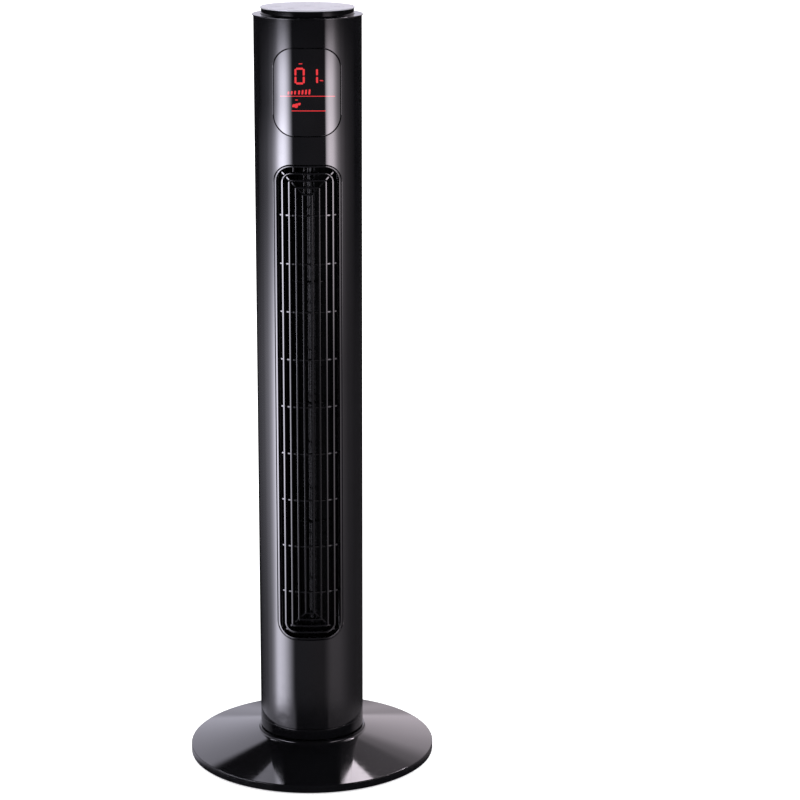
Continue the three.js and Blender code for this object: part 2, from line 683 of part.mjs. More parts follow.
// Spiral wall that gathers the air round the impeller and leads it to the outlet.
function ductScroll() {
  const spline = new THREE.SplineCurve([
    new THREE.Vector2(-36, -43.4), new THREE.Vector2(-45, -27), new THREE.Vector2(-49, -6),
    new THREE.Vector2(-48, 16), new THREE.Vector2(-41, 35), new THREE.Vector2(-27, 48),
  ]);
  return bentSheet(spline.getPoints(14), 1.8, DUCT_LOW + DUCT_PLATE + TOUCH, DUCT_HIGH - TOUCH);
}

// Wall on the other side of the outlet, whose edge keeps the air from turning back.
function ductTongue() {
  const spline = new THREE.SplineCurve([
    new THREE.Vector2(35.8, -43.6), new THREE.Vector2(42, -35), new THREE.Vector2(44, -25),
    new THREE.Vector2(45.5, -16), new THREE.Vector2(51, -12.5), new THREE.Vector2(57.5, -12),
  ]);
  return bentSheet(spline.getPoints(12), 1.8, DUCT_LOW + DUCT_PLATE + TOUCH, DUCT_HIGH - TOUCH);
}

function ductEnd(low, hole) {
  const plate = disc(DUCT_END_RADIUS, low, low + DUCT_PLATE, HIDDEN_ROUND);
  return cut(plate, [disc(hole, low - 1, low + DUCT_PLATE + 1, MEDIUM).translate([0, AIR_AXIS_Y, 0])]);
}

// One forward-leaning blade section, from its inner to its outer edge.
function bladeOutline() {
  const lean = 0.2;
  const spine = [[BLADE_INNER, 0], [IMPELLER_RADIUS - 0.6, lean]].map(([radius, angle]) => (
    new THREE.Vector2(radius * Math.cos(angle), radius * Math.sin(angle))));
  const half = BLADE_THICKNESS / 2;
  return [
    ...spine.map(({ x, y }) => [x + half * 0.4, y - half]),
    ...[...spine].reverse().map(({ x, y }) => [x - half * 0.4, y + half]),
  ];
}

// Cross-flow wheel: long blades held by end discs and by rings between the stages.
function impellerWheel() {
  const stage = (IMPELLER_HIGH - IMPELLER_LOW) / IMPELLER_STAGES;
  const rings = Array.from({ length: IMPELLER_STAGES - 1 }, (_, i) => {
    const middle = IMPELLER_LOW + stage * (i + 1);
    return tube(BLADE_INNER - 1.5, IMPELLER_RADIUS, middle - 0.8, middle + 0.8, IMPELLER_FACETS);
  });
  const lowerEnd = tube(10.3, IMPELLER_RADIUS, IMPELLER_LOW, IMPELLER_LOW + 2.5, IMPELLER_FACETS);
  const upperEnd = turned([
    [4.3, 768], [9, 768], [9, IMPELLER_HIGH - 2.5], [IMPELLER_RADIUS, IMPELLER_HIGH - 2.5],
    [IMPELLER_RADIUS, IMPELLER_HIGH], [4.3, IMPELLER_HIGH],
  ], IMPELLER_FACETS);
  const blade = raised(bladeOutline(), IMPELLER_LOW + 1, IMPELLER_HIGH - 1);
  const blades = Array.from({ length: BLADE_COUNT }, (_, i) => (
    blade.rotate([0, 0, (360 / BLADE_COUNT) * i + 4])));
  return join([lowerEnd, upperEnd, ...rings, ...blades]);
}

function motorRotor() {
  return turned([
    [0, 90], [SHAFT_RADIUS, 90], [SHAFT_RADIUS, 112], [22, 112], [22, 134.6], [SHAFT_RADIUS, 134.6],
    [SHAFT_RADIUS, 172], [0, 172],
  ], MEDIUM);
}

function shaftCoupling() {
  const bore = SHAFT_RADIUS + TOUCH;
  return turned([
    [bore, 157], [10, 157], [10, 162.2], [16, 162.2], [16, 164.7], [10, 164.7], [10, 169], [bore, 169],
  ], MEDIUM);
}

function motorShellUpper() {
  return turned([
    [4.5, 152.2], [50, 152.2], [50, 150.7], [MOTOR_RADIUS, 150.7], [MOTOR_RADIUS, 132.6],
    [MOTOR_RADIUS - 1.5, 132.6], [MOTOR_RADIUS - 1.5, 149.2], [9, 149.2], [9, 143], [4.5, 143],
  ], MEDIUM);
}

function motorShellLower() {
  return turned([
    [4.5, 95], [MOTOR_RADIUS, 95], [MOTOR_RADIUS, 114], [MOTOR_RADIUS - 1.5, 114], [MOTOR_RADIUS - 1.5, 96.5],
    [9, 96.5], [9, 103], [4.5, 103],
  ], MEDIUM);
}

function winding(low, high) {
  return turned([
    [26, low + 2], [28, low], [35, low], [37, low + 2],
    [37, high - 2], [35, high], [28, high], [26, high - 2],
  ], MEDIUM);
}

function addAirPath(tower) {
  const onAirAxis = [0, AIR_AXIS_Y, 0];
  addPiece(tower, 'duct_scroll', ductScroll(), GREY_POLYPROPYLENE);
  addPiece(tower, 'duct_tongue', ductTongue(), GREY_POLYPROPYLENE);
  addPiece(tower, 'duct_bottom_plate', ductEnd(DUCT_LOW, 17), GREY_POLYPROPYLENE);
  addPiece(tower, 'duct_top_plate', ductEnd(DUCT_HIGH, 13.3), GREY_POLYPROPYLENE);
  addPiece(tower, 'bearing_rubber', tube(8.3, 13, 784, 791, MEDIUM), RUBBER, onAirAxis);
  addPiece(tower, 'bearing_bush', tube(SHAFT_RADIUS + TOUCH, 8, 783, 793, MEDIUM), BRONZE, onAirAxis);
  addPiece(tower, 'motor_shell_upper', motorShellUpper(), ZINC_STEEL, onAirAxis);
  addPiece(tower, 'motor_shell_lower', motorShellLower(), ZINC_STEEL, onAirAxis);
  addPiece(tower, 'motor_stator', tube(22.8, MOTOR_RADIUS, 114.3, 132.3, MEDIUM), LAMINATED_STEEL, onAirAxis);
  addPiece(tower, 'motor_winding_upper', winding(132.6, 145), COPPER_WIRE, onAirAxis);
  addPiece(tower, 'motor_winding_lower', winding(101.6, 114), COPPER_WIRE, onAirAxis);
  addPiece(tower, 'motor_rotor', motorRotor(), ZINC_STEEL, onAirAxis);
  addPiece(tower, 'shaft_coupling', shaftCoupling(), RUBBER, onAirAxis);
  addPiece(tower, 'impeller_wheel', impellerWheel(), SATIN_BLACK, onAirAxis);
  addPiece(tower, 'impeller_pin', disc(SHAFT_RADIUS, 769, 796, MEDIUM), ZINC_STEEL, onAirAxis);
}

// ---------------------------------------------------------------- the drive that turns the column

// Plate under the column that rides on the slide ring and carries the small geared motor.
function swivelPlatter() {
  const platter = turned([
    [POST_RADIUS + TOUCH, 51.2], [58.5, 51.2], [58.5, 49.6], [62.3, 49.6],
    [62.3, 54.2], [24, 54.2], [24, 61.5], [POST_RADIUS + TOUCH, 61.5],
  ], HIDDEN_ROUND);
  return cut(platter, [disc(4, 50, 56, SMALL).translate([0, PINION_Y, 0])]);
}

function oscillationMotor() {
  const body = disc(14, 54.8, 72, MEDIUM).translate([-8, PINION_Y, 0]);
  const ears = block([-29, PINION_Y - 3.5, 54.8], [13, PINION_Y + 3.5, 55.8]);
  return cut(join([body, ears]), [disc(2.8, 54, 61.4, SMALL).translate([0, PINION_Y, 0])]);
}

// Pinion with its shaft. A gap between two teeth faces the sector's middle tooth.
function oscillationPinion() {
  const step = 360 / PINION_TEETH;
  const angles = Array.from({ length: PINION_TEETH }, (_, i) => -90 + step / 2 + step * i);
  const wheel = raised(gearOutline(PINION_TEETH, angles), 43.6, 48.4);
  return join([wheel, disc(2.5, 48, 61, SMALL)]);
}

function addSwivelDrive(tower) {
  addPiece(tower, 'swivel_platter', swivelPlatter(), SATIN_BLACK);
  addPiece(tower, 'oscillation_motor', oscillationMotor(), ZINC_STEEL);
  addPiece(tower, 'oscillation_pinion', oscillationPinion(), ACETAL_WHITE, [0, PINION_Y, 0]);
}

// ---------------------------------------------------------------- assembly

function addPiece(parent, name, solid, material, place = [0, 0, 0]) {
  const mesh = new THREE.Mesh(toGeometry(solid), material);
  mesh.name = name;
  mesh.position.set(...place);
  parent.add(mesh);
}

function towerFan() {
  const fan = new THREE.Group();
  const base = new THREE.Group();
  const tower = new THREE.Group();
  fan.add(base, tower);
  addBase(base);
  addShells(tower);
  addHead(tower);
  addElectronics(tower);
  addAirPath(tower);
  addSwivelDrive(tower);
  return fan;
}

export default towerFan();
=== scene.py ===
"""Tower fan: the visible surfaces, finishes and studio, built round the fan's CAD frame.

Lengths are metres. +Z is up, the fan's front faces -Y and its column turns about the Z axis.
"""

import math
from typing import NamedTuple

import bmesh
import bpy
from bpy.props import FloatProperty, FloatVectorProperty, PointerProperty
from mathutils import Matrix, Vector


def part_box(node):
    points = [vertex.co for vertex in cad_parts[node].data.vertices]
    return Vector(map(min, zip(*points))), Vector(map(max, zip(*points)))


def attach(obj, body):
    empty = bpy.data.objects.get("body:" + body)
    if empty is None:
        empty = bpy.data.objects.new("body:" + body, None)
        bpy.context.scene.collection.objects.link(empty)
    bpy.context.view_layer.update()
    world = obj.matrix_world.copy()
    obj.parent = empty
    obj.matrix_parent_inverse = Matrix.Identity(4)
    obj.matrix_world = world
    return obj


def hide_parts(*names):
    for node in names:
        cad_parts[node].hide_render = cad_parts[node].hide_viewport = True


bl_info = {
    "name": "Tower fan",
    "version": (1, 0, 0),
    "blender": (4, 5, 0),
    "location": "View3D > Sidebar > Tower fan",
    "description": "Builds the surfaces and finishes of a round tower fan",
    "category": "Object",
}

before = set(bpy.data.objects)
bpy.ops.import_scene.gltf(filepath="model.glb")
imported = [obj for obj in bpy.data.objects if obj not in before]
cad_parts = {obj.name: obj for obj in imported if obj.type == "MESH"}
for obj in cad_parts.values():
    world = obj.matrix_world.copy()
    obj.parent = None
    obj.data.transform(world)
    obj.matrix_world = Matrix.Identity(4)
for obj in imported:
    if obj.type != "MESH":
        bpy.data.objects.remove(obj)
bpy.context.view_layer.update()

MM = 0.001
ROUND_STEPS = 192  # facets round the base and the column
SMALL_STEPS = 48  # facets round buttons, feet and glands
STRIP = math.radians(2.0)  # width of one facet where a flat pattern is bent round the column
SHARP = math.radians(35)


def centre_of(node):
    low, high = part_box(node)
    return (low + high) / 2


def hexcolour(code):
    """An sRGB hex colour as linear red, green and blue."""
    parts = [int(code[i : i + 2], 16) / 255 for i in (0, 2, 4)]
    return [part / 12.92 if part <= 0.04045 else ((part + 0.055) / 1.055) ** 2.4 for part in parts]


# ---------------------------------------------------------------- sizes and colours


class FanSizes(bpy.types.PropertyGroup):
    """Sizes that shape the fan's visible surfaces"""

    column_radius: FloatProperty(
        name="Column radius",
        description="Outer radius of the round column",
        default=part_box("swivel_ring")[1].x,
        unit="LENGTH",
    )
    wall: FloatProperty(
        name="Shell wall", description="Wall of the moulded shells", default=2.5 * MM, unit="LENGTH"
    )
    seam: FloatProperty(
        name="Seam", description="Gap round a window or grille", default=0.65 * MM, unit="LENGTH"
    )
    edge: FloatProperty(
        name="Edge radius", description="Radius on moulded outer edges", default=0.5 * MM, unit="LENGTH"
    )
    loop_pitch: FloatProperty(
        name="Loop pitch", description="Distance between grille bars", default=8.55 * MM, unit="LENGTH"
    )
    bar_width: FloatProperty(
        name="Bar width", description="Width of a grille bar", default=2.2 * MM, unit="LENGTH"
    )
    bar_depth: FloatProperty(
        name="Bar depth", description="Depth of a grille bar", default=5.2 * MM, unit="LENGTH"
    )
    grille_corner: FloatProperty(
        name="Grille corner", description="Corner radius of the outlet opening", default=22 * MM,
        unit="LENGTH",
    )
    window_corner: FloatProperty(
        name="Window corner", description="Corner radius of the display window", default=25 * MM,
        unit="LENGTH",
    )
    digit_height: FloatProperty(
        name="Digit height", description="Height of the display's digits", default=20 * MM, unit="LENGTH"
    )


class FanColours(bpy.types.PropertyGroup):
    """Colours of the fan's finishes"""

    gloss_black: FloatVectorProperty(
        name="Gloss black", description="Moulded gloss shells", subtype="COLOR",
        size=3, min=0, max=1, default=hexcolour("08080a"),
    )
    satin_black: FloatVectorProperty(
        name="Satin black", description="Moulded satin parts", subtype="COLOR",
        size=3, min=0, max=1, default=hexcolour("0f0f11"),
    )
    silver: FloatVectorProperty(
        name="Silver", description="Paint of the top panel", subtype="COLOR",
        size=3, min=0, max=1, default=hexcolour("b4b3bc"),
    )
    red_light: FloatVectorProperty(
        name="Display red", description="Lit segments of the display", subtype="COLOR",
        size=3, min=0, max=1, default=hexcolour("ff4046"),
    )


# ---------------------------------------------------------------- materials


def add_node(tree, kind, settings=None, values=None, links=None):
    """Adds a node with its settings, socket values and incoming links."""
    node = tree.nodes.new(kind)
    for name, value in (settings or {}).items():
        setattr(node, name, value)
    for name, value in (values or {}).items():
        node.inputs[name].default_value = value
    for name, socket in (links or {}).items():
        tree.links.new(socket, node.inputs[name])
    return node


def start_material(name, **shader_values):
    """A material with one Principled shader, and the object coordinates its patterns use."""
    material = bpy.data.materials.new(name)
    material.use_nodes = True
    tree = material.node_tree
    tree.nodes.clear()
    shader = add_node(tree, "ShaderNodeBsdfPrincipled", values=shader_values)
    add_node(tree, "ShaderNodeOutputMaterial", links={"Surface": shader.outputs["BSDF"]})
    place = add_node(tree, "ShaderNodeTexCoord").outputs["Object"]
    return material, tree, shader, place


def noise(tree, place, size, detail=2.0):
    """Noise whose features are about this size in metres."""
    return add_node(
        tree, "ShaderNodeTexNoise", values={"Scale": 1 / size, "Detail": detail}, links={"Vector": place}
    ).outputs["Fac"]


def spread(tree, fac, low, high):
    """Maps a 0 to 1 pattern to a range of values."""
    return add_node(
        tree, "ShaderNodeMapRange", values={"From Min": 0.3, "From Max": 0.7, "To Min": low, "To Max": high},
        links={"Value": fac},
    ).outputs["Result"]


def mix_colours(tree, fac, first, second):
    """A colour that a pattern moves between two others."""
    ramp = add_node(tree, "ShaderNodeValToRGB", links={"Fac": fac})
    ramp.color_ramp.elements[0].color = (*first, 1)
    ramp.color_ramp.elements[0].position = 0.35
    ramp.color_ramp.elements[1].color = (*second, 1)
    ramp.color_ramp.elements[1].position = 0.65
    return ramp.outputs["Color"]


def bumped(tree, shader, height, strength, distance):
    bump = add_node(
        tree, "ShaderNodeBump", values={"Strength": strength, "Distance": distance}, links={"Height": height}
    )
    tree.links.new(bump.outputs["Normal"], shader.inputs["Normal"])


def lighter(colour, factor):
    return [min(1.0, channel * factor) for channel in colour]


def gloss_black_abs(colours):
    """ABS from a polished mould: deep black under mirror gloss, with the slow waves of shrinkage."""
    material, tree, shader, place = start_material("gloss_black_abs", IOR=1.5)
    colour = mix_colours(
        tree, noise(tree, place, 40 * MM), lighter(colours.gloss_black, 0.9),
        lighter(colours.gloss_black, 1.15),
    )
    tree.links.new(colour, shader.inputs["Base Color"])
    tree.links.new(spread(tree, noise(tree, place, 9 * MM), 0.035, 0.06), shader.inputs["Roughness"])
    bumped(tree, shader, noise(tree, place, 30 * MM, 0.0), 0.25, 0.02 * MM)
    return material


def satin_black_abs(colours):
    """ABS from a spark-eroded mould: a fine grain that scatters the highlights."""
    material, tree, shader, place = start_material("satin_black_abs", IOR=1.5)
    grain = noise(tree, place, 0.6 * MM, 3.0)
    colour = mix_colours(tree, grain, lighter(colours.satin_black, 0.85), lighter(colours.satin_black, 1.25))
    tree.links.new(colour, shader.inputs["Base Color"])
    tree.links.new(spread(tree, noise(tree, place, 5 * MM), 0.38, 0.5), shader.inputs["Roughness"])
    bumped(tree, shader, grain, 0.3, 0.03 * MM)
    return material


def gloss_black_rotor(colours):
    """Glass-filled black plastic of the impeller: half gloss, with faint flow marks."""
    material, tree, shader, place = start_material("glass_filled_as_resin", IOR=1.57)
    shader.inputs["Specular IOR Level"].default_value = 0.07
    flow = noise(tree, place, 12 * MM)
    colour = mix_colours(tree, flow, lighter(colours.satin_black, 0.4), lighter(colours.satin_black, 0.6))
    tree.links.new(colour, shader.inputs["Base Color"])
    tree.links.new(spread(tree, flow, 0.12, 0.2), shader.inputs["Roughness"])
    bumped(tree, shader, noise(tree, place, 0.8 * MM), 0.2, 0.02 * MM)
    return material


def smoked_polycarbonate():
    """Tinted polycarbonate, polished: nearly black from outside and flatter than the shell."""
    material, tree, shader, place = start_material("smoked_polycarbonate", IOR=1.585)
    colour = mix_colours(tree, noise(tree, place, 30 * MM), hexcolour("060608"), hexcolour("09090b"))
    tree.links.new(colour, shader.inputs["Base Color"])
    tree.links.new(spread(tree, noise(tree, place, 8 * MM), 0.02, 0.035), shader.inputs["Roughness"])
    return material


def lit_segment(colours):
    """A light-emitting segment seen through the smoked window: an even red that keeps the gloss above it."""
    material, tree, shader, place = start_material("lit_display_segment", IOR=1.585)
    shader.inputs["Base Color"].default_value = (*hexcolour("1a0302"), 1)
    shader.inputs["Emission Strength"].default_value = 0.95
    glow = mix_colours(tree, noise(tree, place, 1.5 * MM), lighter(colours.red_light, 0.8), colours.red_light)
    tree.links.new(glow, shader.inputs["Emission Color"])
    tree.links.new(spread(tree, noise(tree, place, 8 * MM), 0.02, 0.035), shader.inputs["Roughness"])
    return material


def silver_paint(colours):
    """Fine aluminium-flake paint, sprayed and left without lacquer: an even, soft silver sheen."""
    material, tree, shader, place = start_material("silver_flake_paint", Metallic=0.15, IOR=1.5)
    shader.inputs["Specular IOR Level"].default_value = 0.2
    flakes = noise(tree, place, 0.35 * MM, 4.0)
    colour = mix_colours(tree, flakes, lighter(colours.silver, 0.86), lighter(colours.silver, 1.1))
    tree.links.new(colour, shader.inputs["Base Color"])
    tree.links.new(spread(tree, noise(tree, place, 3 * MM), 0.3, 0.42), shader.inputs["Roughness"])
    bumped(tree, shader, flakes, 0.15, 0.01 * MM)
    return material


def printed_ink():
    """Pad-printed grey ink on the silver paint: matt, slightly uneven."""
    material, tree, shader, place = start_material("pad_printed_ink", IOR=1.5)
    colour = mix_colours(tree, noise(tree, place, 0.8 * MM), hexcolour("5c5b6a"), hexcolour("6a6977"))
    tree.links.new(colour, shader.inputs["Base Color"])
    tree.links.new(spread(tree, noise(tree, place, 2 * MM), 0.4, 0.55), shader.inputs["Roughness"])
    return material


def moulded_rubber():
    """Black synthetic rubber: matt, with a dusty bloom."""
    material, tree, shader, place = start_material("moulded_rubber", IOR=1.52)
    bloom = noise(tree, place, 4 * MM, 4.0)
    rubber = mix_colours(tree, bloom, hexcolour("161616"), hexcolour("242323"))
    tree.links.new(rubber, shader.inputs["Base Color"])
    tree.links.new(spread(tree, bloom, 0.7, 0.9), shader.inputs["Roughness"])
    bumped(tree, shader, noise(tree, place, 0.5 * MM), 0.4, 0.05 * MM)
    return material


def plain_metal(name, dark, light, low, high, grain):
    """Metal whose colour and polish vary a little over its surface."""
    material, tree, shader, place = start_material(name, Metallic=1.0)
    pattern = noise(tree, place, grain, 3.0)
    tree.links.new(mix_colours(tree, pattern, hexcolour(dark), hexcolour(light)), shader.inputs["Base Color"])
    tree.links.new(spread(tree, pattern, low, high), shader.inputs["Roughness"])
    bumped(tree, shader, noise(tree, place, grain / 6), 0.15, 0.01 * MM)
    return material


def layered(name, dark, light, pitch, metallic, low, high):
    """Fine layers stacked along Z: sheet edges of a stator or turns of wire on a winding."""
    material, tree, shader, place = start_material(name, Metallic=metallic)
    waves = add_node(
        tree, "ShaderNodeTexWave", settings={"bands_direction": "Z"},
        values={"Scale": 1 / (pitch * 20 / math.tau), "Distortion": 0.4}, links={"Vector": place},
    ).outputs["Fac"]
    tree.links.new(mix_colours(tree, waves, hexcolour(dark), hexcolour(light)), shader.inputs["Base Color"])
    tree.links.new(spread(tree, waves, low, high), shader.inputs["Roughness"])
    bumped(tree, shader, waves, 0.6, 0.15 * MM)
    return material


def plain_plastic(name, dark, light, low, high, grain):
    """Moulded plastic with a faint cloudiness and a soft mould texture."""
    material, tree, shader, place = start_material(name, IOR=1.49)
    cloud = noise(tree, place, grain)
    tree.links.new(mix_colours(tree, cloud, hexcolour(dark), hexcolour(light)), shader.inputs["Base Color"])
    tree.links.new(spread(tree, cloud, low, high), shader.inputs["Roughness"])
    bumped(tree, shader, noise(tree, place, 0.7 * MM), 0.2, 0.03 * MM)
    return material


def make_finishes(colours):
    return {
        "gloss": gloss_black_abs(colours),
        "satin": satin_black_abs(colours),
        "rotor": gloss_black_rotor(colours),
        "lens": smoked_polycarbonate(),
        "segment": lit_segment(colours),
        "silver": silver_paint(colours),
        "ink": printed_ink(),
        "rubber": moulded_rubber(),
        "zinc": plain_metal("zinc_plated_steel", "9fa4a8", "b9bdc0", 0.28, 0.42, 3 * MM),
        "bronze": plain_metal("oiled_sintered_bronze", "84582b", "a8763a", 0.4, 0.55, 1.5 * MM),
        # Electrical steel is 0.5 mm sheet; the layers are drawn at 1 mm so that they show.
        "laminations": layered("stacked_electrical_steel", "4d5154", "7f8488", 1.0 * MM, 1.0, 0.4, 0.55),
        # Winding wire of 0.3 mm is drawn at 0.8 mm so that the turns show.
        "winding": layered("enamelled_copper_wire", "8a3d1c", "b96636", 0.8 * MM, 1.0, 0.3, 0.45),
        "acetal": plain_plastic("moulded_acetal", "ddd9cf", "ebe8e0", 0.3, 0.42, 8 * MM),
        "duct": plain_plastic("moulded_polypropylene", "121213", "1a1a1c", 0.45, 0.6, 10 * MM),
        "board": plain_plastic("glass_fibre_board", "174d2d", "1f6238", 0.3, 0.45, 2 * MM),
        "led_case": plain_plastic("moulded_display_case", "1a0c0c", "2a1414", 0.4, 0.55, 3 * MM),
        "capacitor": plain_plastic("moulded_capacitor_case", "1c2330", "2a3344", 0.35, 0.5, 5 * MM),
    }


# ---------------------------------------------------------------- shaping


def face_outwards(work):
    """Turns the faces of a closed body outwards."""
    bmesh.ops.recalc_face_normals(work, faces=work.faces)
    if work.calc_volume(signed=True) < 0:
        bmesh.ops.reverse_faces(work, faces=work.faces)


def finish_mesh(work, name):
    """A mesh from the bmesh: smooth faces, sharp where they meet at an angle."""
    for face in work.faces:
        face.smooth = True
    for edge in work.edges:
        edge.smooth = len(edge.link_faces) == 2 and edge.calc_face_angle() < SHARP
    mesh = bpy.data.meshes.new(name)
    work.to_mesh(mesh)
    work.free()
    return mesh


def add_piece(name, mesh, finishes, body, replaced):
    """Puts a finished mesh into the scene, riding on its body in place of CAD nodes."""
    for material in finishes:
        mesh.materials.append(material)
    piece = bpy.data.objects.new(name, mesh)
    bpy.context.scene.collection.objects.link(piece)
    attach(piece, body)
    if replaced:
        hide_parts(*replaced)
    return piece


def weigh_normals(piece):
    """Keeps broad faces flat where they run into rounded edges."""
    modifier = piece.modifiers.new("face_weights", "WEIGHTED_NORMAL")
    modifier.keep_sharp = True


def turned(outline, steps=ROUND_STEPS, segments=4, centre=(0, 0)):
    """A closed body turned about Z from corners of (radius, height) or (radius, height, rounding)."""
    work = bmesh.new()
    corners = [work.verts.new((corner[0], 0, corner[1])) for corner in outline]
    on_axis = outline[0][0] == 0
    for i in range(len(corners) - (1 if on_axis else 0)):
        work.edges.new((corners[i], corners[(i + 1) % len(corners)]))
    for vertex, corner in zip(corners, outline):
        if len(corner) > 2:
            bmesh.ops.bevel(
                work, geom=[vertex], offset=corner[2], offset_type="OFFSET", segments=segments,
                profile=0.5, affect="VERTICES", material=-1,
            )
    bmesh.ops.spin(
        work, geom=work.verts[:] + work.edges[:], cent=(0, 0, 0), axis=(0, 0, 1),
        angle=math.tau, steps=steps, use_merge=True,
    )
    bmesh.ops.remove_doubles(work, verts=work.verts, dist=1e-6)
    face_outwards(work)
    bmesh.ops.translate(work, verts=work.verts, vec=(centre[0], centre[1], 0))
    return work


def join_into(work, other):
    """Adds another bmesh to this one."""
    mesh = bpy.data.meshes.new("joined")
    other.to_mesh(mesh)
    other.free()
    work.from_mesh(mesh)
    bpy.data.meshes.remove(mesh)


def round_rectangle(work, half_width, low, high, corner, depth, segments=12):
    """Adds the edges of a rectangle with round corners, lying upright at one depth."""
    earlier = set(work.verts)
    corners = [(-half_width, low), (half_width, low), (half_width, high), (-half_width, high)]
    verts = [work.verts.new((x, depth, z)) for x, z in corners]
    for first, second in zip(verts, verts[1:] + verts[:1]):
        work.edges.new((first, second))
    if corner > 0:
        bmesh.ops.bevel(
            work, geom=verts, offset=corner, offset_type="OFFSET", segments=segments,
            profile=0.5, affect="VERTICES", material=-1,
        )
    fresh = [vertex for vertex in work.verts if vertex not in earlier]
    return list({edge for vertex in fresh for edge in vertex.link_edges})


def stacked_outlines(work, half_width, low, high, corner, steps):
    """Outlines at (outward offset, depth) steps, each bridged to the one before. Returns all of them."""
    outlines = []
    for outward, depth in steps:
        outlines.append(
            round_rectangle(
                work, half_width + outward, low - outward, high + outward,
                max(corner + outward, 0.3 * MM), depth,
            )
        )
    for first, second in zip(outlines, outlines[1:]):
        bmesh.ops.bridge_loops(work, edges=first + second)
    return outlines


def cut_strips(work, spacing, reach):
    """Cuts a flat pattern into upright strips, so that it can be bent."""
    count = math.floor(reach / spacing)
    for i in range(-count, count + 1):
        bmesh.ops.bisect_plane(
            work, geom=work.verts[:] + work.edges[:] + work.faces[:], dist=1e-7,
            plane_co=(i * spacing, 0, 0), plane_no=(1, 0, 0),
        )


def bend(work, place):
    """Moves every corner of a flat pattern from (across, depth, height) to its place, faces outwards."""
    for vertex in work.verts:
        vertex.co = place(*vertex.co)
    face_outwards(work)


def column_face(radius, side):
    """Places a pattern on the column with its depth running straight back, as a mould draws it."""

    def place(across, depth, height):
        return (across, side * (math.sqrt(radius * radius - across * across) - depth), height)

    return place


def column_normals(mesh):
    """Gives faces that follow the column the normals of a true round surface."""
    normals = [(0, 0, 1)] * len(mesh.loops)
    for face in mesh.polygons:
        for index in face.loop_indices:
            spot = mesh.vertices[mesh.loops[index].vertex_index].co
            radial = Vector((spot.x, spot.y, 0)).normalized()
            facing = face.normal.dot(radial)
            if abs(facing) > 0.995:
                normals[index] = radial * math.copysign(1, facing)
            else:
                normals[index] = face.normal
    mesh.normals_split_custom_set(normals)


# ---------------------------------------------------------------- operators


class FanOperator:
    """What the fan's operators share"""

    bl_options = {"REGISTER", "UNDO"}

    def execute(self, context):
        self.build(FINISHES, bpy.context.scene.fan_sizes)
        return {"FINISHED"}


class FAN_OT_base(FanOperator, bpy.types.Operator):
    """Low cone with a rounded rim and a collar, its cover plate, feet and screws"""

    bl_idname = "fan.base"
    bl_label = "Base"

    def build(self, finishes, sizes):
        low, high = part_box("base_cover")
        rim, collar, wall = high.x, 67.6 * MM, 3.2 * MM
        shoulder, top = high.z - 1.2 * MM, high.z
        cover = turned([
            (rim, low.z, 0.4 * MM),
            (rim, 11.9 * MM, 0.8 * MM),
            (collar, 30.0 * MM, 2.5 * MM),
            (collar, shoulder),
            (62 * MM, shoulder),
            (62 * MM, top),
            (50 * MM, top),
            (50 * MM, 33.2 * MM),
            (62 * MM, 32 * MM),
            (77 * MM, 25.2 * MM),
            (rim - wall, 9.3 * MM),
            (rim - wall, low.z),
        ], segments=6)
        piece = add_piece(
            "base_shell", finish_mesh(cover, "base_shell"), [finishes["gloss"]], "base",
            ["base_cover"],
        )
        weigh_normals(piece)

        low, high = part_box("base_underplate")
        plate = turned([(0, low.z), (high.x, low.z, 0.5 * MM), (high.x, high.z, 0.4 * MM), (0, high.z)])
        for radius in (60 * MM, 95 * MM):
            ring = turned([
                (radius, low.z - 0.5 * MM, 0.2 * MM), (radius + 3 * MM, low.z - 0.5 * MM, 0.2 * MM),
                (radius + 3 * MM, low.z + 0.4 * MM), (radius, low.z + 0.4 * MM),
            ], steps=96)
            join_into(plate, ring)
        piece = add_piece(
            "base_bottom_plate", finish_mesh(plate, "base_bottom_plate"), [finishes["satin"]],
            "base", ["base_underplate"],
        )
        weigh_normals(piece)

        for i in range(1, 5):
            node = f"rubber_foot_{i}"
            low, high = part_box(node)
            middle, radius = centre_of(node), (high.x - low.x) / 2
            foot = turned([
                (0, low.z), (radius - 1.6 * MM, low.z, 0.2 * MM),
                (radius - 0.4 * MM, low.z + 0.5 * MM, 0.4 * MM),
                (radius, high.z, 0.2 * MM), (0, high.z),
            ], steps=SMALL_STEPS, centre=(middle.x, middle.y))
            piece = add_piece(
                f"foot_pad_{i}", finish_mesh(foot, node), [finishes["rubber"]], "base", [node]
            )
            weigh_normals(piece)
        for i in range(1, 4):
            add_screw(f"base_screw_{i}", f"plate_screw_{i}", "base", finishes, (0, 0, -1))


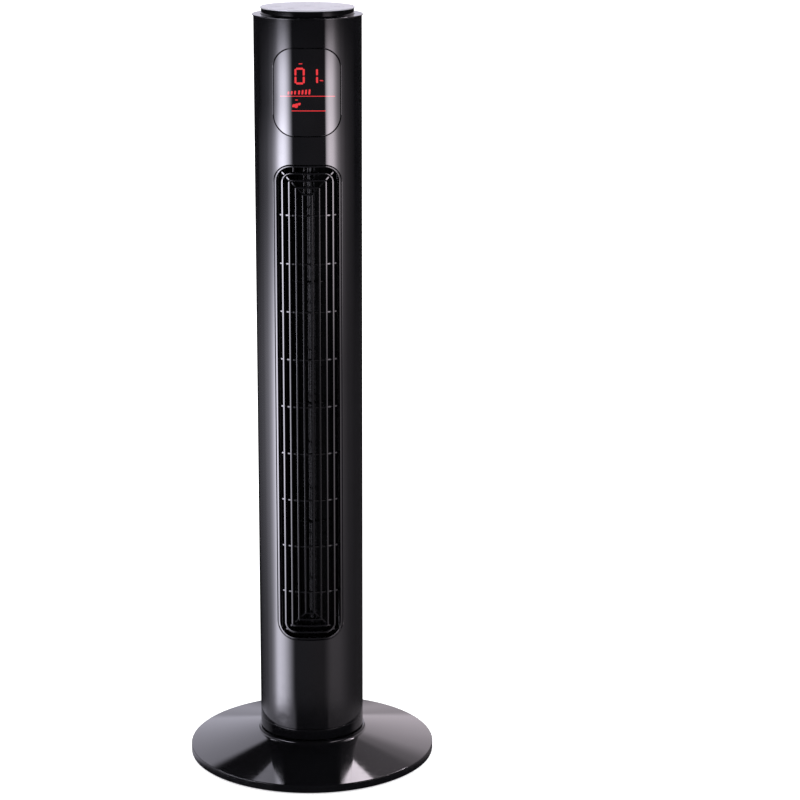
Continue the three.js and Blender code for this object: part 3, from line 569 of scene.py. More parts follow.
def add_screw(node, name, body, finishes, facing):
    """A pan-head cross-recessed screw in a CAD screw's place, its head towards facing; its recess is painted
    shade, a thin satin-black cross laid on the head rather than cut into it.
    """
    low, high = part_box(node)
    middle = centre_of(node)
    away = Vector(facing)
    reach = (high - low) / 2
    half_length = abs(reach.dot(away))
    head_radius = reach.x
    length = half_length * 2
    head = 1.6 * MM
    screw = turned([
        (0, 0), (0.9 * MM, 0.2 * MM), (head_radius * 0.5, 1.2 * MM), (head_radius * 0.5, length - head),
        (head_radius, length - head), (head_radius, length - 0.5 * MM, 0.45 * MM), (0, length),
    ], steps=24)
    # Painted shade: the cross recess is not cut; two thin slabs in the satin black finish, laid on top of the
    # head, stand in for the shade inside it.
    for across in ((1, 0), (0, 1)):
        recess_shade = bmesh.new()
        bmesh.ops.create_cube(recess_shade, size=1.0)
        bmesh.ops.scale(
            recess_shade, verts=recess_shade.verts,
            vec=(
                head_radius * (1.1 if across[0] else 0.28), head_radius * (1.1 if across[1] else 0.28),
                0.06 * MM,
            ),
        )
        bmesh.ops.translate(recess_shade, verts=recess_shade.verts, vec=(0, 0, length + 0.02 * MM))
        for face in recess_shade.faces:
            face.material_index = 1
        join_into(screw, recess_shade)
    turn = Vector((0, 0, 1)).rotation_difference(away).to_matrix()
    bmesh.ops.rotate(screw, verts=screw.verts, cent=(0, 0, 0), matrix=turn)
    bmesh.ops.translate(screw, verts=screw.verts, vec=middle - away * half_length)
    # The satin finish on the head's cross is painted shade for the recess.
    piece = add_piece(
        name, finish_mesh(screw, name), [finishes["zinc"], finishes["satin"]],
        body, [node],
    )
    weigh_normals(piece)


class FAN_OT_swivel_ring(FanOperator, bpy.types.Operator):
    """Gloss ring between the base and the turning column"""

    bl_idname = "fan.swivel_ring"
    bl_label = "Swivel ring"

    def build(self, finishes, sizes):
        low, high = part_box("swivel_ring")
        ring = turned([
            (high.x, low.z, 0.5 * MM), (high.x, high.z, 0.5 * MM), (63 * MM, high.z), (63 * MM, 47 * MM),
            (57.5 * MM, 47 * MM), (57.5 * MM, 39.5 * MM), (50.3 * MM, 39.5 * MM), (50.3 * MM, low.z),
        ])
        piece = add_piece(
            "gloss_ring", finish_mesh(ring, "gloss_ring"), [finishes["gloss"]], "base",
            ["swivel_ring"],
        )
        weigh_normals(piece)


def shell_half(sizes, low, high, side, openings, holes):
    """One half of the column's shell, with rounded edges round its openings.

    openings are (half width, low, high, corner); holes are (across, height, radius).
    """
    radius, wall, edge = sizes.column_radius, sizes.wall, sizes.edge
    inner = radius - wall
    half_turn = math.pi / 2 - 0.15 * MM / radius
    work = bmesh.new()
    boundary = []
    for half_width, opening_low, opening_high, corner in openings:
        outlines = stacked_outlines(
            work, half_width, opening_low, opening_high, corner,
            [(edge, 0), (0.3 * edge, 0.3 * edge), (0, edge), (0, wall * 0.7)],
        )
        boundary += outlines[0]
    for across, height, hole in holes:
        upright = Matrix.Translation((across, 0, height)) @ Matrix.Rotation(math.pi / 2, 4, "X")
        ring = bmesh.ops.create_circle(work, cap_ends=False, segments=32, radius=hole, matrix=upright)
        boundary += list({edge for vertex in ring["verts"] for edge in vertex.link_edges})
    for vertex in work.verts:
        vertex.co.x = radius * math.asin(vertex.co.x / radius)
    boundary += round_rectangle(work, radius * half_turn, low, high, 0, 0)
    bmesh.ops.triangle_fill(work, use_beauty=True, use_dissolve=False, edges=boundary)
    cut_strips(work, radius * STRIP, radius * half_turn)
    fresh = bmesh.ops.extrude_face_region(work, geom=work.faces[:])["geom"]
    for vertex in fresh:
        if isinstance(vertex, bmesh.types.BMVert):
            vertex.co.y = wall
    widest = max(opening[0] for opening in openings)
    outer_edge, inner_edge = math.asin(widest / radius), math.asin(widest / inner)

    def place(across, depth, height):
        turn = across / radius
        if depth < wall * 0.99:
            return (radius * math.sin(turn), side * (radius * math.cos(turn) - depth), height)
        if abs(turn) <= outer_edge:
            turn = math.asin(radius * math.sin(turn) / inner)
        else:
            share = (abs(turn) - outer_edge) / (math.pi / 2 - outer_edge)
            turn = math.copysign(inner_edge + share * (math.pi / 2 - inner_edge), turn)
        return (inner * math.sin(turn), side * inner * math.cos(turn), height)

    bend(work, place)
    bmesh.ops.remove_doubles(work, verts=work.verts, dist=1e-6)
    bmesh.ops.dissolve_limit(
        work, angle_limit=math.radians(0.05), use_dissolve_boundaries=False,
        verts=work.verts, edges=work.edges, delimit=set(),
    )
    face_outwards(work)
    return work


class FAN_OT_housings(FanOperator, bpy.types.Operator):
    """The column's front and rear shells"""

    bl_idname = "fan.housings"
    bl_label = "Column shells"

    def build(self, finishes, sizes):
        seam = sizes.seam
        grille_low, grille_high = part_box("front_grille")
        lens_low, lens_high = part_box("display_lens")
        low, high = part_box("front_housing")
        openings = [
            (grille_high.x + seam, grille_low.z - seam, grille_high.z + seam, sizes.grille_corner),
            (lens_high.x + seam, lens_low.z - seam, lens_high.z + seam, sizes.window_corner),
        ]
        front = shell_half(sizes, low.z, high.z, -1, openings, [])
        for side in (-1, 1):
            join_into(front, joint_tongue(sizes, low.z, high.z, side))
        mesh = finish_mesh(front, "front_shell")
        column_normals(mesh)
        add_piece("front_shell", mesh, [finishes["gloss"]], "tower", ["front_housing"])

        grille_low, grille_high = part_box("rear_grille")
        handle_low, handle_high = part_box("handle_cup")
        openings = [
            (grille_high.x + seam, grille_low.z - seam, grille_high.z + seam, 12 * MM),
            (handle_high.x + 0.3 * MM, handle_low.z - 0.3 * MM, handle_high.z + 0.3 * MM, 8 * MM),
        ]
        gland = centre_of("cord_gland")
        holes = [(0, gland.z, 6.9 * MM)]
        for i in range(1, 5):
            screw = centre_of(f"housing_screw_{i}")
            holes.append((screw.x, screw.z, 3.4 * MM))
        low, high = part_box("rear_housing")
        rear = shell_half(sizes, low.z, high.z, 1, openings, holes)
        for across, height, hole in holes[1:]:
            join_into(rear, screw_well(sizes, across, height, hole))
        mesh = finish_mesh(rear, "rear_shell")
        column_normals(mesh)
        add_piece("rear_shell", mesh, [finishes["gloss"]], "tower", ["rear_housing"])


def joint_tongue(sizes, low, high, side):
    """Upright strip inside the front shell's edge that reaches behind the rear shell and closes the joint."""
    outer = sizes.column_radius - sizes.wall - 0.1 * MM
    thick, lap = 1.2 * MM, 3 * MM
    work = bmesh.new()
    bmesh.ops.create_cube(work, size=1.0)
    bmesh.ops.scale(work, verts=work.verts, vec=(thick, 2 * lap, high - low - 12 * MM))
    bmesh.ops.translate(work, verts=work.verts, vec=(side * (outer - thick / 2), 0, (low + high) / 2))
    return work


def screw_well(sizes, across, height, hole):
    """Sleeve that a housing screw drops into, from behind the shell's wall to its seat."""
    inner = sizes.column_radius - sizes.wall
    seat, outer = 6 * MM, hole + 1.4 * MM
    work = bmesh.new()
    rings = []
    for radius, deep in ((hole, 1), (hole, 0), (outer, 0), (outer, 1), (1.8 * MM, 1)):
        upright = Matrix.Translation((across, deep, height)) @ Matrix.Rotation(math.pi / 2, 4, "X")
        ring = bmesh.ops.create_circle(work, cap_ends=False, segments=32, radius=radius, matrix=upright)
        rings.append(list({edge for vertex in ring["verts"] for edge in vertex.link_edges}))
    for i, j in ((4, 0), (0, 1), (1, 2), (2, 3), (3, 4)):
        bmesh.ops.bridge_loops(work, edges=rings[i] + rings[j])
    for vertex in work.verts:
        x, deep, _ = vertex.co
        surface = math.sqrt(max(inner * inner - x * x, 0)) - 0.05 * MM
        vertex.co.y = seat if deep > 0.5 else surface
    face_outwards(work)
    return work


def grille_loop(sizes, half_width, low, high, corner, width, side):
    """A closed bar with rounded front edges that follows the column's surface."""
    half, edge, depth = width / 2, 0.45 * MM, sizes.bar_depth
    work = bmesh.new()
    section = [
        (half, depth), (half, edge), (half - 0.3 * edge, 0.3 * edge), (half - edge, 0),
        (edge - half, 0), (0.3 * edge - half, 0.3 * edge), (-half, edge), (-half, depth),
    ]
    outlines = stacked_outlines(work, half_width, low, high, corner, section)
    bmesh.ops.bridge_loops(work, edges=outlines[0] + outlines[-1])
    cut_strips(work, 2 * MM, half_width)
    bend(work, column_face(sizes.column_radius, side))
    face_outwards(work)
    return work


def grille_bar(start, end, width, front, depth, side, edge):
    """A straight bar in the grille from (across, height) to (across, height), rounded in front."""
    run = Vector((end[0] - start[0], 0, end[1] - start[1]))
    work = bmesh.new()
    bmesh.ops.create_cube(work, size=1.0)
    bmesh.ops.scale(work, verts=work.verts, vec=(run.length, depth, width))
    bmesh.ops.translate(work, verts=work.verts, vec=(0, depth / 2, 0))
    fronts = [
        line for line in work.edges
        if all(vertex.co.y < depth * 0.1 for vertex in line.verts)
        and abs(line.verts[0].co.z - line.verts[1].co.z) < 1e-6
    ]
    bmesh.ops.bevel(
        work, geom=fronts, offset=edge, offset_type="OFFSET", segments=3, profile=0.5,
        affect="EDGES", material=-1,
    )
    tilt = Matrix.Rotation(-math.atan2(run.z, run.x), 3, "Y")
    bmesh.ops.rotate(work, verts=work.verts, cent=(0, 0, 0), matrix=tilt)
    middle = ((start[0] + end[0]) / 2, 0, (start[1] + end[1]) / 2)
    bmesh.ops.translate(work, verts=work.verts, vec=middle)
    reach = max(abs(start[0]), abs(end[0]))
    cut_strips(work, 2 * MM, reach)
    bend(work, column_face(front, side))
    face_outwards(work)
    return work


class FAN_OT_outlet_grille(FanOperator, bpy.types.Operator):
    """Outlet grille: nested loops of bar over ribs, corner struts and ties"""

    bl_idname = "fan.outlet_grille"
    bl_label = "Outlet grille"

    def build(self, finishes, sizes):
        low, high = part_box("front_grille")
        frame_width, pitch = 2.4 * MM, sizes.loop_pitch
        half = high.x - frame_width / 2
        bottom, top = low.z + frame_width / 2, high.z - frame_width / 2
        corner = 19.5 * MM
        grille = bmesh.new()
        for i in range(5):
            step = pitch * i
            join_into(grille, grille_loop(
                sizes, half - step, bottom + step, top - step, max(corner - step, 0.8 * MM),
                frame_width if i == 0 else sizes.bar_width, -1,
            ))
        front, depth, thick = sizes.column_radius - 4 * MM, 3.2 * MM, 1.9 * MM
        middle = (low.z + high.z) / 2
        bars = []
        for i in range(9):
            height = middle + (i - 4) * 60 * MM
            bars.append(((-half, height), (half, height), thick))
        reach = half - 6 * MM
        for across in (-1, 1):
            for end, limit in ((-1, bottom), (1, top)):
                outer = (across * half, limit)
                inner = (across * (half - reach), limit - end * reach)
                bars.append((outer, inner, 1.8 * MM))
        bars.append(((-17.1 * MM, top - pitch), (-17.1 * MM, top), 1.8 * MM))
        bars.append(((-4 * MM, top - pitch * 4), (-4 * MM, top), 1.8 * MM))
        for start, end, width in bars:
            join_into(grille, grille_bar(start, end, width, front, depth, -1, 0.15 * MM))
        piece = add_piece(
            "outlet_grille", finish_mesh(grille, "outlet_grille"), [finishes["gloss"]],
            "tower", ["front_grille"],
        )
        weigh_normals(piece)


class FAN_OT_inlet_grille(FanOperator, bpy.types.Operator):
    """Inlet grille in the rear shell: upright bars over cross ribs"""

    bl_idname = "fan.inlet_grille"
    bl_label = "Inlet grille"

    def build(self, finishes, sizes):
        low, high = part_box("rear_grille")
        frame_width, pitch = 2.4 * MM, sizes.loop_pitch
        half = high.x - frame_width / 2
        bottom, top = low.z + frame_width / 2, high.z - frame_width / 2
        grille = grille_loop(sizes, half, bottom, top, 10.4 * MM, frame_width, 1)
        for i in range(-4, 5):
            across = i * pitch
            join_into(grille, grille_bar(
                (across, bottom), (across, top), sizes.bar_width, sizes.column_radius, sizes.bar_depth,
                1, 0.45 * MM,
            ))
        middle = (low.z + high.z) / 2
        for i in range(5):
            height = middle + (i - 2) * 120 * MM
            join_into(grille, grille_bar(
                (-half, height), (half, height), 1.9 * MM, sizes.column_radius - 4 * MM, 3.2 * MM, 1, 0.8 * MM
            ))
        piece = add_piece(
            "inlet_grille", finish_mesh(grille, "inlet_grille"), [finishes["satin"]],
            "tower", ["rear_grille"],
        )
        weigh_normals(piece)


class FAN_OT_display(FanOperator, bpy.types.Operator):
    """Curved smoked window and the lit segments behind its face"""

    bl_idname = "fan.display"
    bl_label = "Display"

    def build(self, finishes, sizes):
        low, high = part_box("display_lens")
        # A flange behind the shell's wall closes the seam round the window.
        edge, flange, front, back = sizes.edge, 1.6 * MM, 3.5 * MM, 4.4 * MM
        work = bmesh.new()
        outlines = stacked_outlines(
            work, high.x, low.z, high.z, sizes.window_corner - sizes.seam,
            [(-edge, 0), (-0.3 * edge, 0.3 * edge), (0, edge), (0, front), (flange, front), (flange, back)],
        )
        bmesh.ops.triangle_fill(work, use_beauty=True, use_dissolve=False, edges=outlines[0])
        bmesh.ops.triangle_fill(work, use_beauty=True, use_dissolve=False, edges=outlines[-1])
        cut_strips(work, sizes.column_radius * STRIP, high.x)
        bend(work, column_face(sizes.column_radius, -1))
        face_outwards(work)
        mesh = finish_mesh(work, "display_window")
        column_normals(mesh)
        add_piece("display_window", mesh, [finishes["lens"]], "tower", ["display_lens"])

        marks = bmesh.new()
        for across, height, wide, tall, slant in display_marks(sizes, low.z):
            add_mark(marks, across, height, wide, tall, slant)
        radius, sight = sizes.column_radius, math.radians(7)
        cut_strips(marks, radius * STRIP, 40 * MM)
        fresh = bmesh.ops.extrude_face_region(marks, geom=marks.faces[:])["geom"]
        lifted = [item for item in fresh if isinstance(item, bmesh.types.BMVert)]
        bmesh.ops.translate(marks, verts=lifted, vec=(0, 1, 0))

        def place(across, depth, height):
            reach = radius + 0.03 * MM if depth < 0.5 else radius - 0.3 * MM
            turn = across / radius
            # The board is flat behind the round window, so its lines look straight from in front.
            sag = radius * (1 - math.cos(turn)) * math.tan(sight)
            return (reach * math.sin(turn), -reach * math.cos(turn), height - sag)

        bend(marks, place)
        bmesh.ops.recalc_face_normals(marks, faces=marks.faces)
        mesh = finish_mesh(marks, "display_segments")
        column_normals(mesh)
        add_piece("display_segments", mesh, [finishes["segment"]], "tower", [])


def add_mark(work, across, height, wide, tall, slant):
    """A flat mark of the display, leaning sideways by slant, with softened corners."""
    shape = bmesh.new()
    bmesh.ops.create_grid(
        shape, x_segments=1, y_segments=1, size=0.5, matrix=Matrix.Rotation(math.pi / 2, 4, "X")
    )
    bmesh.ops.scale(shape, verts=shape.verts, vec=(wide, 1, tall))
    bmesh.ops.bevel(
        shape, geom=shape.verts[:], offset=min(wide, tall) * 0.3, offset_type="OFFSET", segments=2,
        profile=0.5, affect="VERTICES", material=-1,
    )
    for vertex in shape.verts:
        vertex.co.x += slant * vertex.co.z
        vertex.co.y = 0
    bmesh.ops.translate(shape, verts=shape.verts, vec=(across, 0, height))
    join_into(work, shape)


def display_marks(sizes, window_low):
    """Every lit mark as (across, height, width, height of mark, slant), in the window's flat pattern."""
    tall, wide, stroke = sizes.digit_height, 12.4 * MM, 2.4 * MM
    base = window_low + 62.6 * MM
    zero, one = -8.5 * MM, 12.4 * MM
    lower, upper = base + tall * 0.27, base + tall * 0.73
    upright = tall / 2 - 2.2 * MM
    marks = []
    for height in (base + stroke / 2, base + tall - stroke / 2):
        marks.append((zero, height, wide - 4 * MM, stroke, 0))
    for height in (lower, upper):
        marks.append((zero - (wide - stroke) / 2, height, stroke, upright, 0))
        marks.append((zero + (wide - stroke) / 2, height, stroke, upright, 0))
        marks.append((one, height, stroke, upright * 0.92, 0))
    marks.append((zero + 1.2 * MM, base + tall + 4.6 * MM, 4.2 * MM, 1.1 * MM, 0.3))
    marks.append((17.8 * MM, base + 4.6 * MM, 3.8 * MM, 1.3 * MM, -1.2))

    # Seven bars of the speed scale, each a little taller than the one before.
    bar_line = window_low + 48.5 * MM
    bar_foot, bar_pitch, bar_gap = bar_line + 2.1 * MM, 4.15 * MM, 0.8 * MM
    for i in range(7):
        rise = (3.6 + 0.42 * i) * MM
        across = -22.5 * MM + bar_pitch * i + (bar_gap if i > 2 else 0)
        marks.append((across, bar_foot + rise / 2, 2.2 * MM, rise, 0.1))
    marks.append((0.9 * MM, bar_line, 69 * MM, 0.8 * MM, 0))
    marks.append((2.2 * MM, window_low + 30.9 * MM, 41.8 * MM, 0.95 * MM, 0))

    # A sprig of leaves above the lower line, as (across, height, width, height of mark) in millimetres.
    leaf = window_low + 36.8 * MM
    for across, height, size, rise in (
        (-15.2, 0.4, 5.0, 3.8), (-12.6, -0.9, 3.4, 2.8), (-12.2, 1.6, 3.6, 2.8), (-9.2, 2.2, 3.4, 3.0),
    ):
        marks.append((across * MM, leaf + height * MM, size * MM, rise * MM, 0.3))
    marks.append((-12.4 * MM, leaf + 7.2 * MM, 3.2 * MM, 1.0 * MM, 0))
    return marks


class FAN_OT_handle(FanOperator, bpy.types.Operator):
    """Recess in the rear shell that a hand lifts the fan by"""

    bl_idname = "fan.handle"
    bl_label = "Carry recess"

    def build(self, finishes, sizes):
        low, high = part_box("handle_cup")
        wall, radius, floor = 2.5 * MM, sizes.column_radius, low.y
        work = bmesh.new()
        steps = [
            (0, 1), (0, 0.4 * MM), (-0.4 * MM, 0), (-wall + 0.4 * MM, 0), (-wall, 0.4 * MM),
            (-wall, 0.5), (-wall - 1.5 * MM, 0.6),
        ]
        outlines = stacked_outlines(work, high.x, low.z, high.z, 7.7 * MM, steps)
        bmesh.ops.triangle_fill(work, use_beauty=True, use_dissolve=False, edges=outlines[0])
        bmesh.ops.triangle_fill(work, use_beauty=True, use_dissolve=False, edges=outlines[-1])
        cut_strips(work, 2 * MM, high.x)

        def place(across, depth, height):
            if depth > 0.9:
                return (across, floor, height)
            if depth > 0.55:
                return (across, floor + wall, height)
            if depth > 0.45:
                return (across, floor + wall + 1.5 * MM, height)
            return (across, math.sqrt(radius * radius - across * across) - depth, height)

        bend(work, place)
        face_outwards(work)
        piece = add_piece(
            "carry_recess", finish_mesh(work, "carry_recess"), [finishes["satin"]],
            "tower",
            ["handle_cup"],
        )
        weigh_normals(piece)


class FAN_OT_gland_and_screws(FanOperator, bpy.types.Operator):
    """Rubber gland for the mains cord and the screws that hold the shells"""

    bl_idname = "fan.gland_and_screws"
    bl_label = "Cord gland and screws"

    def build(self, finishes, sizes):
        low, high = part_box("cord_gland")
        middle, bore, radius = centre_of("cord_gland"), 3.9 * MM, (high.x - low.x) / 2
        length = high.y - low.y
        gland = turned([
            (bore, 0), (8.5 * MM, 0, 0.4 * MM), (8.5 * MM, 3.4 * MM), (6.5 * MM, 3.4 * MM),
            (6.5 * MM, 7.3 * MM),
            (radius, 7.3 * MM, 0.3 * MM), (radius - 0.4 * MM, length, 1 * MM), (bore, length, 0.5 * MM),
        ], steps=SMALL_STEPS)
        rearward = Matrix.Rotation(-math.pi / 2, 3, "X")
        bmesh.ops.rotate(gland, verts=gland.verts, cent=(0, 0, 0), matrix=rearward)
        bmesh.ops.translate(gland, verts=gland.verts, vec=(middle.x, low.y, middle.z))
        piece = add_piece(
            "gland_ring", finish_mesh(gland, "gland_ring"), [finishes["rubber"]], "tower",
            ["cord_gland"],
        )
        weigh_normals(piece)
        for i in range(1, 5):
            add_screw(f"housing_screw_{i}", f"shell_screw_{i}", "tower", finishes, (0, 1, 0))


class FAN_OT_top(FanOperator, bpy.types.Operator):
    """Flared lip, raised head and silver panel at the top of the column"""

    bl_idname = "fan.top"
    bl_label = "Top"

    def build(self, finishes, sizes):
        low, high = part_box("top_bezel")
        bore, lip = 57.2 * MM, high.x
        bezel = turned([
            (bore, high.z, 0.5 * MM), (bore, 948.3 * MM), (60.2 * MM, 948.3 * MM), (60.2 * MM, low.z),
            (63.2 * MM, low.z), (63.2 * MM, 949.9 * MM), (lip, 949.9 * MM, 0.3 * MM),
            (lip, high.z, 0.45 * MM),
        ])
        piece = add_piece(
            "top_lip", finish_mesh(bezel, "top_lip"), [finishes["gloss"]], "tower",
            ["top_bezel"],
        )
        weigh_normals(piece)
        low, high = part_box("control_head")
        side = 56.5 * MM
        head = turned([
            (side, high.z, 0.3 * MM), (side - 3 * MM, high.z), (side - 3 * MM, 940.2 * MM),
            (20 * MM, 940.2 * MM), (20 * MM, low.z), (side, low.z), (side, 945.5 * MM),
            (59.9 * MM, 945.5 * MM), (59.9 * MM, 948 * MM),
            (side, 948 * MM),
        ])
        piece = add_piece(
            "head_wall", finish_mesh(head, "head_wall"), [finishes["gloss"]], "tower",
            ["control_head"],
        )
        weigh_normals(piece)
        low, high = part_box("control_panel")
        panel = bmesh.new()
        outer = bmesh.ops.create_circle(panel, cap_ends=False, segments=ROUND_STEPS, radius=high.x)
        loops = list({edge for vertex in outer["verts"] for edge in vertex.link_edges})
        for name in BUTTONS:
            hole = button_radius(name) + 0.4 * MM
            ring = bmesh.ops.create_circle(
                panel, cap_ends=False, segments=SMALL_STEPS, radius=hole,
                matrix=Matrix.Translation(centre_of(name).xy.to_3d()),
            )
            loops += list({edge for vertex in ring["verts"] for edge in vertex.link_edges})
        bmesh.ops.triangle_fill(panel, use_beauty=True, use_dissolve=False, edges=loops, normal=(0, 0, 1))
        bmesh.ops.translate(panel, verts=panel.verts, vec=(0, 0, low.z))
        fresh = bmesh.ops.extrude_face_region(panel, geom=panel.faces[:])["geom"]
        raised = [item for item in fresh if isinstance(item, bmesh.types.BMVert)]
        bmesh.ops.translate(panel, verts=raised, vec=(0, 0, high.z - low.z))
        bmesh.ops.recalc_face_normals(panel, faces=panel.faces)
        rims = [
            edge for edge in panel.edges
            if len(edge.link_faces) == 2 and edge.calc_face_angle() > math.radians(60)
            and edge.verts[0].co.z > high.z - 0.1 * MM and edge.verts[1].co.z > high.z - 0.1 * MM
        ]
        bmesh.ops.bevel(
            panel, geom=rims, offset=0.35 * MM, offset_type="OFFSET", segments=3, profile=0.5,
            affect="EDGES", material=-1,
        )
        piece = add_piece(
            "silver_panel", finish_mesh(panel, "silver_panel"), [finishes["silver"]], "tower",
            ["control_panel"],
        )
        weigh_normals(piece)


BUTTONS = {
    "button_power": "power_key",
    "button_speed": "speed_key",
    "button_timer": "timer_key",
    "button_mode": "mode_key",
    "button_swing": "swing_key",
}


def button_radius(name):
    """The radius of a button's cap, which its holding flange passes by 1.4 mm."""
    low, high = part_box(name)
    return (high.x - low.x) / 2 - 1.4 * MM


def icon_arc(work, radius, start, end, width, centre=(0, 0)):
    """A flat printed arc: a short line swept about its centre, angles in degrees from +X."""
    shape = bmesh.new()
    first = shape.verts.new((radius - width / 2, 0, 0))
    second = shape.verts.new((radius + width / 2, 0, 0))
    line = shape.edges.new((first, second))
    full = end - start >= 360
    bmesh.ops.spin(
        shape, geom=[first, second, line], cent=(0, 0, 0), axis=(0, 0, 1),
        angle=math.radians(end - start), steps=24, use_merge=full,
    )
    bmesh.ops.rotate(
        shape, verts=shape.verts, cent=(0, 0, 0), matrix=Matrix.Rotation(math.radians(start), 3, "Z")
    )
    bmesh.ops.translate(shape, verts=shape.verts, vec=(*centre, 0))
    join_into(work, shape)


def icon_bar(work, centre, wide, tall, turn=0):
    """A flat printed bar."""
    shape = bmesh.new()
    bmesh.ops.create_grid(shape, x_segments=1, y_segments=1, size=0.5)
    bmesh.ops.scale(shape, verts=shape.verts, vec=(wide, tall, 1))
    turned_by = Matrix.Rotation(math.radians(turn), 3, "Z")
    bmesh.ops.rotate(shape, verts=shape.verts, cent=(0, 0, 0), matrix=turned_by)
    bmesh.ops.translate(shape, verts=shape.verts, vec=(*centre, 0))
    join_into(work, shape)


def button_icon(name):
    """The plain sign printed on a button's cap, about 7 mm across."""
    work = bmesh.new()
    line = 0.7 * MM
    if name == "button_power":
        icon_arc(work, 3.4 * MM, 115, 425, line)
        icon_bar(work, (0, 2.8 * MM), line, 3.2 * MM)
    elif name == "button_speed":
        for i in range(4):
            rise = (1.8 + 1.3 * i) * MM
            icon_bar(work, ((-2.7 + 1.8 * i) * MM, -2.8 * MM + rise / 2), 1.1 * MM, rise)
    elif name == "button_timer":
        icon_arc(work, 3.3 * MM, 0, 360, line)
        icon_bar(work, (0, 1.0 * MM), line, 2.0 * MM)
        icon_bar(work, (0.8 * MM, -0.1 * MM), 1.7 * MM, line)
    elif name == "button_mode":
        for i in range(3):
            icon_arc(work, 1.5 * MM, 30 + 120 * i, 200 + 120 * i, line, (
                1.6 * MM * math.cos(math.radians(120 * i + 90)),
                1.6 * MM * math.sin(math.radians(120 * i + 90)),
            ))
    else:
        icon_arc(work, 3.2 * MM, 25, 155, line)
        icon_arc(work, 3.2 * MM, 205, 335, line)
        for side in (-1, 1):
            icon_bar(work, (side * 2.9 * MM, side * 0.6 * MM), 1.8 * MM, line, 45)
    fresh = bmesh.ops.extrude_face_region(work, geom=work.faces[:])["geom"]
    raised = [item for item in fresh if isinstance(item, bmesh.types.BMVert)]
    bmesh.ops.translate(work, verts=raised, vec=(0, 0, 0.06 * MM))
    face_outwards(work)
    for face in work.faces:
        face.material_index = 1
    return work


class FAN_OT_buttons(FanOperator, bpy.types.Operator):
    """Five push buttons with a printed sign on each"""

    bl_idname = "fan.buttons"
    bl_label = "Buttons"

    def build(self, finishes, sizes):
        for name, body in BUTTONS.items():
            low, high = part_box(name)
            middle, radius = centre_of(name), button_radius(name)
            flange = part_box("control_panel")[0].z - 0.3 * MM
            cap = turned([
                (0, low.z), (2.5 * MM, low.z), (2.5 * MM, flange - 1.5 * MM),
                (radius + 1.4 * MM, flange - 1.5 * MM),
                (radius + 1.4 * MM, flange), (radius, flange), (radius, high.z, 0.5 * MM), (0, high.z),
            ], steps=SMALL_STEPS, centre=(middle.x, middle.y))
            icon = button_icon(name)
            bmesh.ops.translate(icon, verts=icon.verts, vec=(middle.x, middle.y, high.z - 0.03 * MM))
            join_into(cap, icon)
            piece = add_piece(
                body + "_cap", finish_mesh(cap, name), [finishes["silver"], finishes["ink"]],
                body, [name],
            )
            weigh_normals(piece)


class FAN_OT_impeller(FanOperator, bpy.types.Operator):
    """Cross-flow wheel: curved blades with notched edges between thin rings"""

    bl_idname = "fan.impeller"
    bl_label = "Impeller"

    def build(self, finishes, sizes):
        low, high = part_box("impeller_wheel")
        middle = centre_of("impeller_wheel")
        outer, inner = (high.x - low.x) / 2, 31.5 * MM
        stages, blades = 4, 28
        stage = (high.z - low.z) / stages
        wheel = turned([
            (10.3 * MM, low.z), (outer, low.z, 0.4 * MM), (outer, low.z + 2.5 * MM, 0.4 * MM),
            (10.3 * MM, low.z + 2.5 * MM),
        ], steps=64)
        join_into(wheel, turned([
            (4.3 * MM, 768 * MM), (9 * MM, 768 * MM), (9 * MM, high.z - 2.5 * MM),
            (outer, high.z - 2.5 * MM, 0.4 * MM),
            (outer, high.z, 0.4 * MM), (4.3 * MM, high.z),
        ], steps=64))
        for i in range(1, stages):
            ring = low.z + stage * i
            join_into(wheel, turned([
                (inner, ring - 0.8 * MM), (outer, ring - 0.8 * MM, 0.3 * MM),
                (outer, ring + 0.8 * MM, 0.3 * MM),
                (inner, ring + 0.8 * MM),
            ], steps=64))
        for i in range(stages):
            join_into(wheel, blade_ring(
                low.z + stage * i + 0.7 * MM, low.z + stage * (i + 1) - 0.7 * MM,
                33 * MM, outer - 0.7 * MM, blades,
            ))
        bmesh.ops.translate(wheel, verts=wheel.verts, vec=(middle.x, middle.y, 0))
        piece = add_piece(
            "crossflow_wheel", finish_mesh(wheel, "crossflow_wheel"), [finishes["rotor"]],
            "impeller", ["impeller_wheel"],
        )
        weigh_normals(piece)


def blade_ring(low, high, inner, outer, count):
    """One stage of forward-curved blades whose outer edges are notched every few millimetres."""
    notches = 22
    work = bmesh.new()
    bmesh.ops.create_grid(work, x_segments=4, y_segments=notches * 2, size=0.5)
    for vertex in work.verts:
        chord = vertex.co.x + 0.5
        along = vertex.co.y + 0.5
        row = round(along * notches * 2)
        reach = inner + (outer - inner) * chord
        if chord > 0.99 and row % 2:
            reach -= 0.9 * MM
        turn = 0.22 * chord + 0.1 * chord * chord
        vertex.co = (reach * math.cos(turn), reach * math.sin(turn), low + (high - low) * along)
    face_outwards(work)
    bmesh.ops.solidify(work, geom=work.faces[:], thickness=0.9 * MM)
    bmesh.ops.spin(
        work, geom=work.verts[:] + work.edges[:] + work.faces[:], cent=(0, 0, 0), axis=(0, 0, 1),
        angle=math.tau, steps=count, use_duplicate=True,
    )
    bmesh.ops.remove_doubles(work, verts=work.verts, dist=1e-6)
    return work


INNER_FINISHES = {
    "satin": ["swivel_hub", "swivel_platter"],
    "acetal": ["sector_gear", "slide_ring", "oscillation_pinion"],
    "zinc": [
        "retaining_nut", "hub_screw_1", "hub_screw_2", "hub_screw_3",
        "motor_shell_upper", "motor_shell_lower",
        "motor_rotor", "impeller_pin", "oscillation_motor",
    ],
    "rubber": ["shaft_coupling", "bearing_rubber"],
    "bronze": ["bearing_bush"],
    "laminations": ["motor_stator"],
    "winding": ["motor_winding_upper", "motor_winding_lower"],
    "duct": ["duct_scroll", "duct_tongue", "duct_bottom_plate", "duct_top_plate"],
    "board": ["display_board", "power_board", "control_board"],
    "led_case": ["display_module"],
    "lens": ["ir_receiver"],
    "capacitor": ["motor_capacitor"],
}


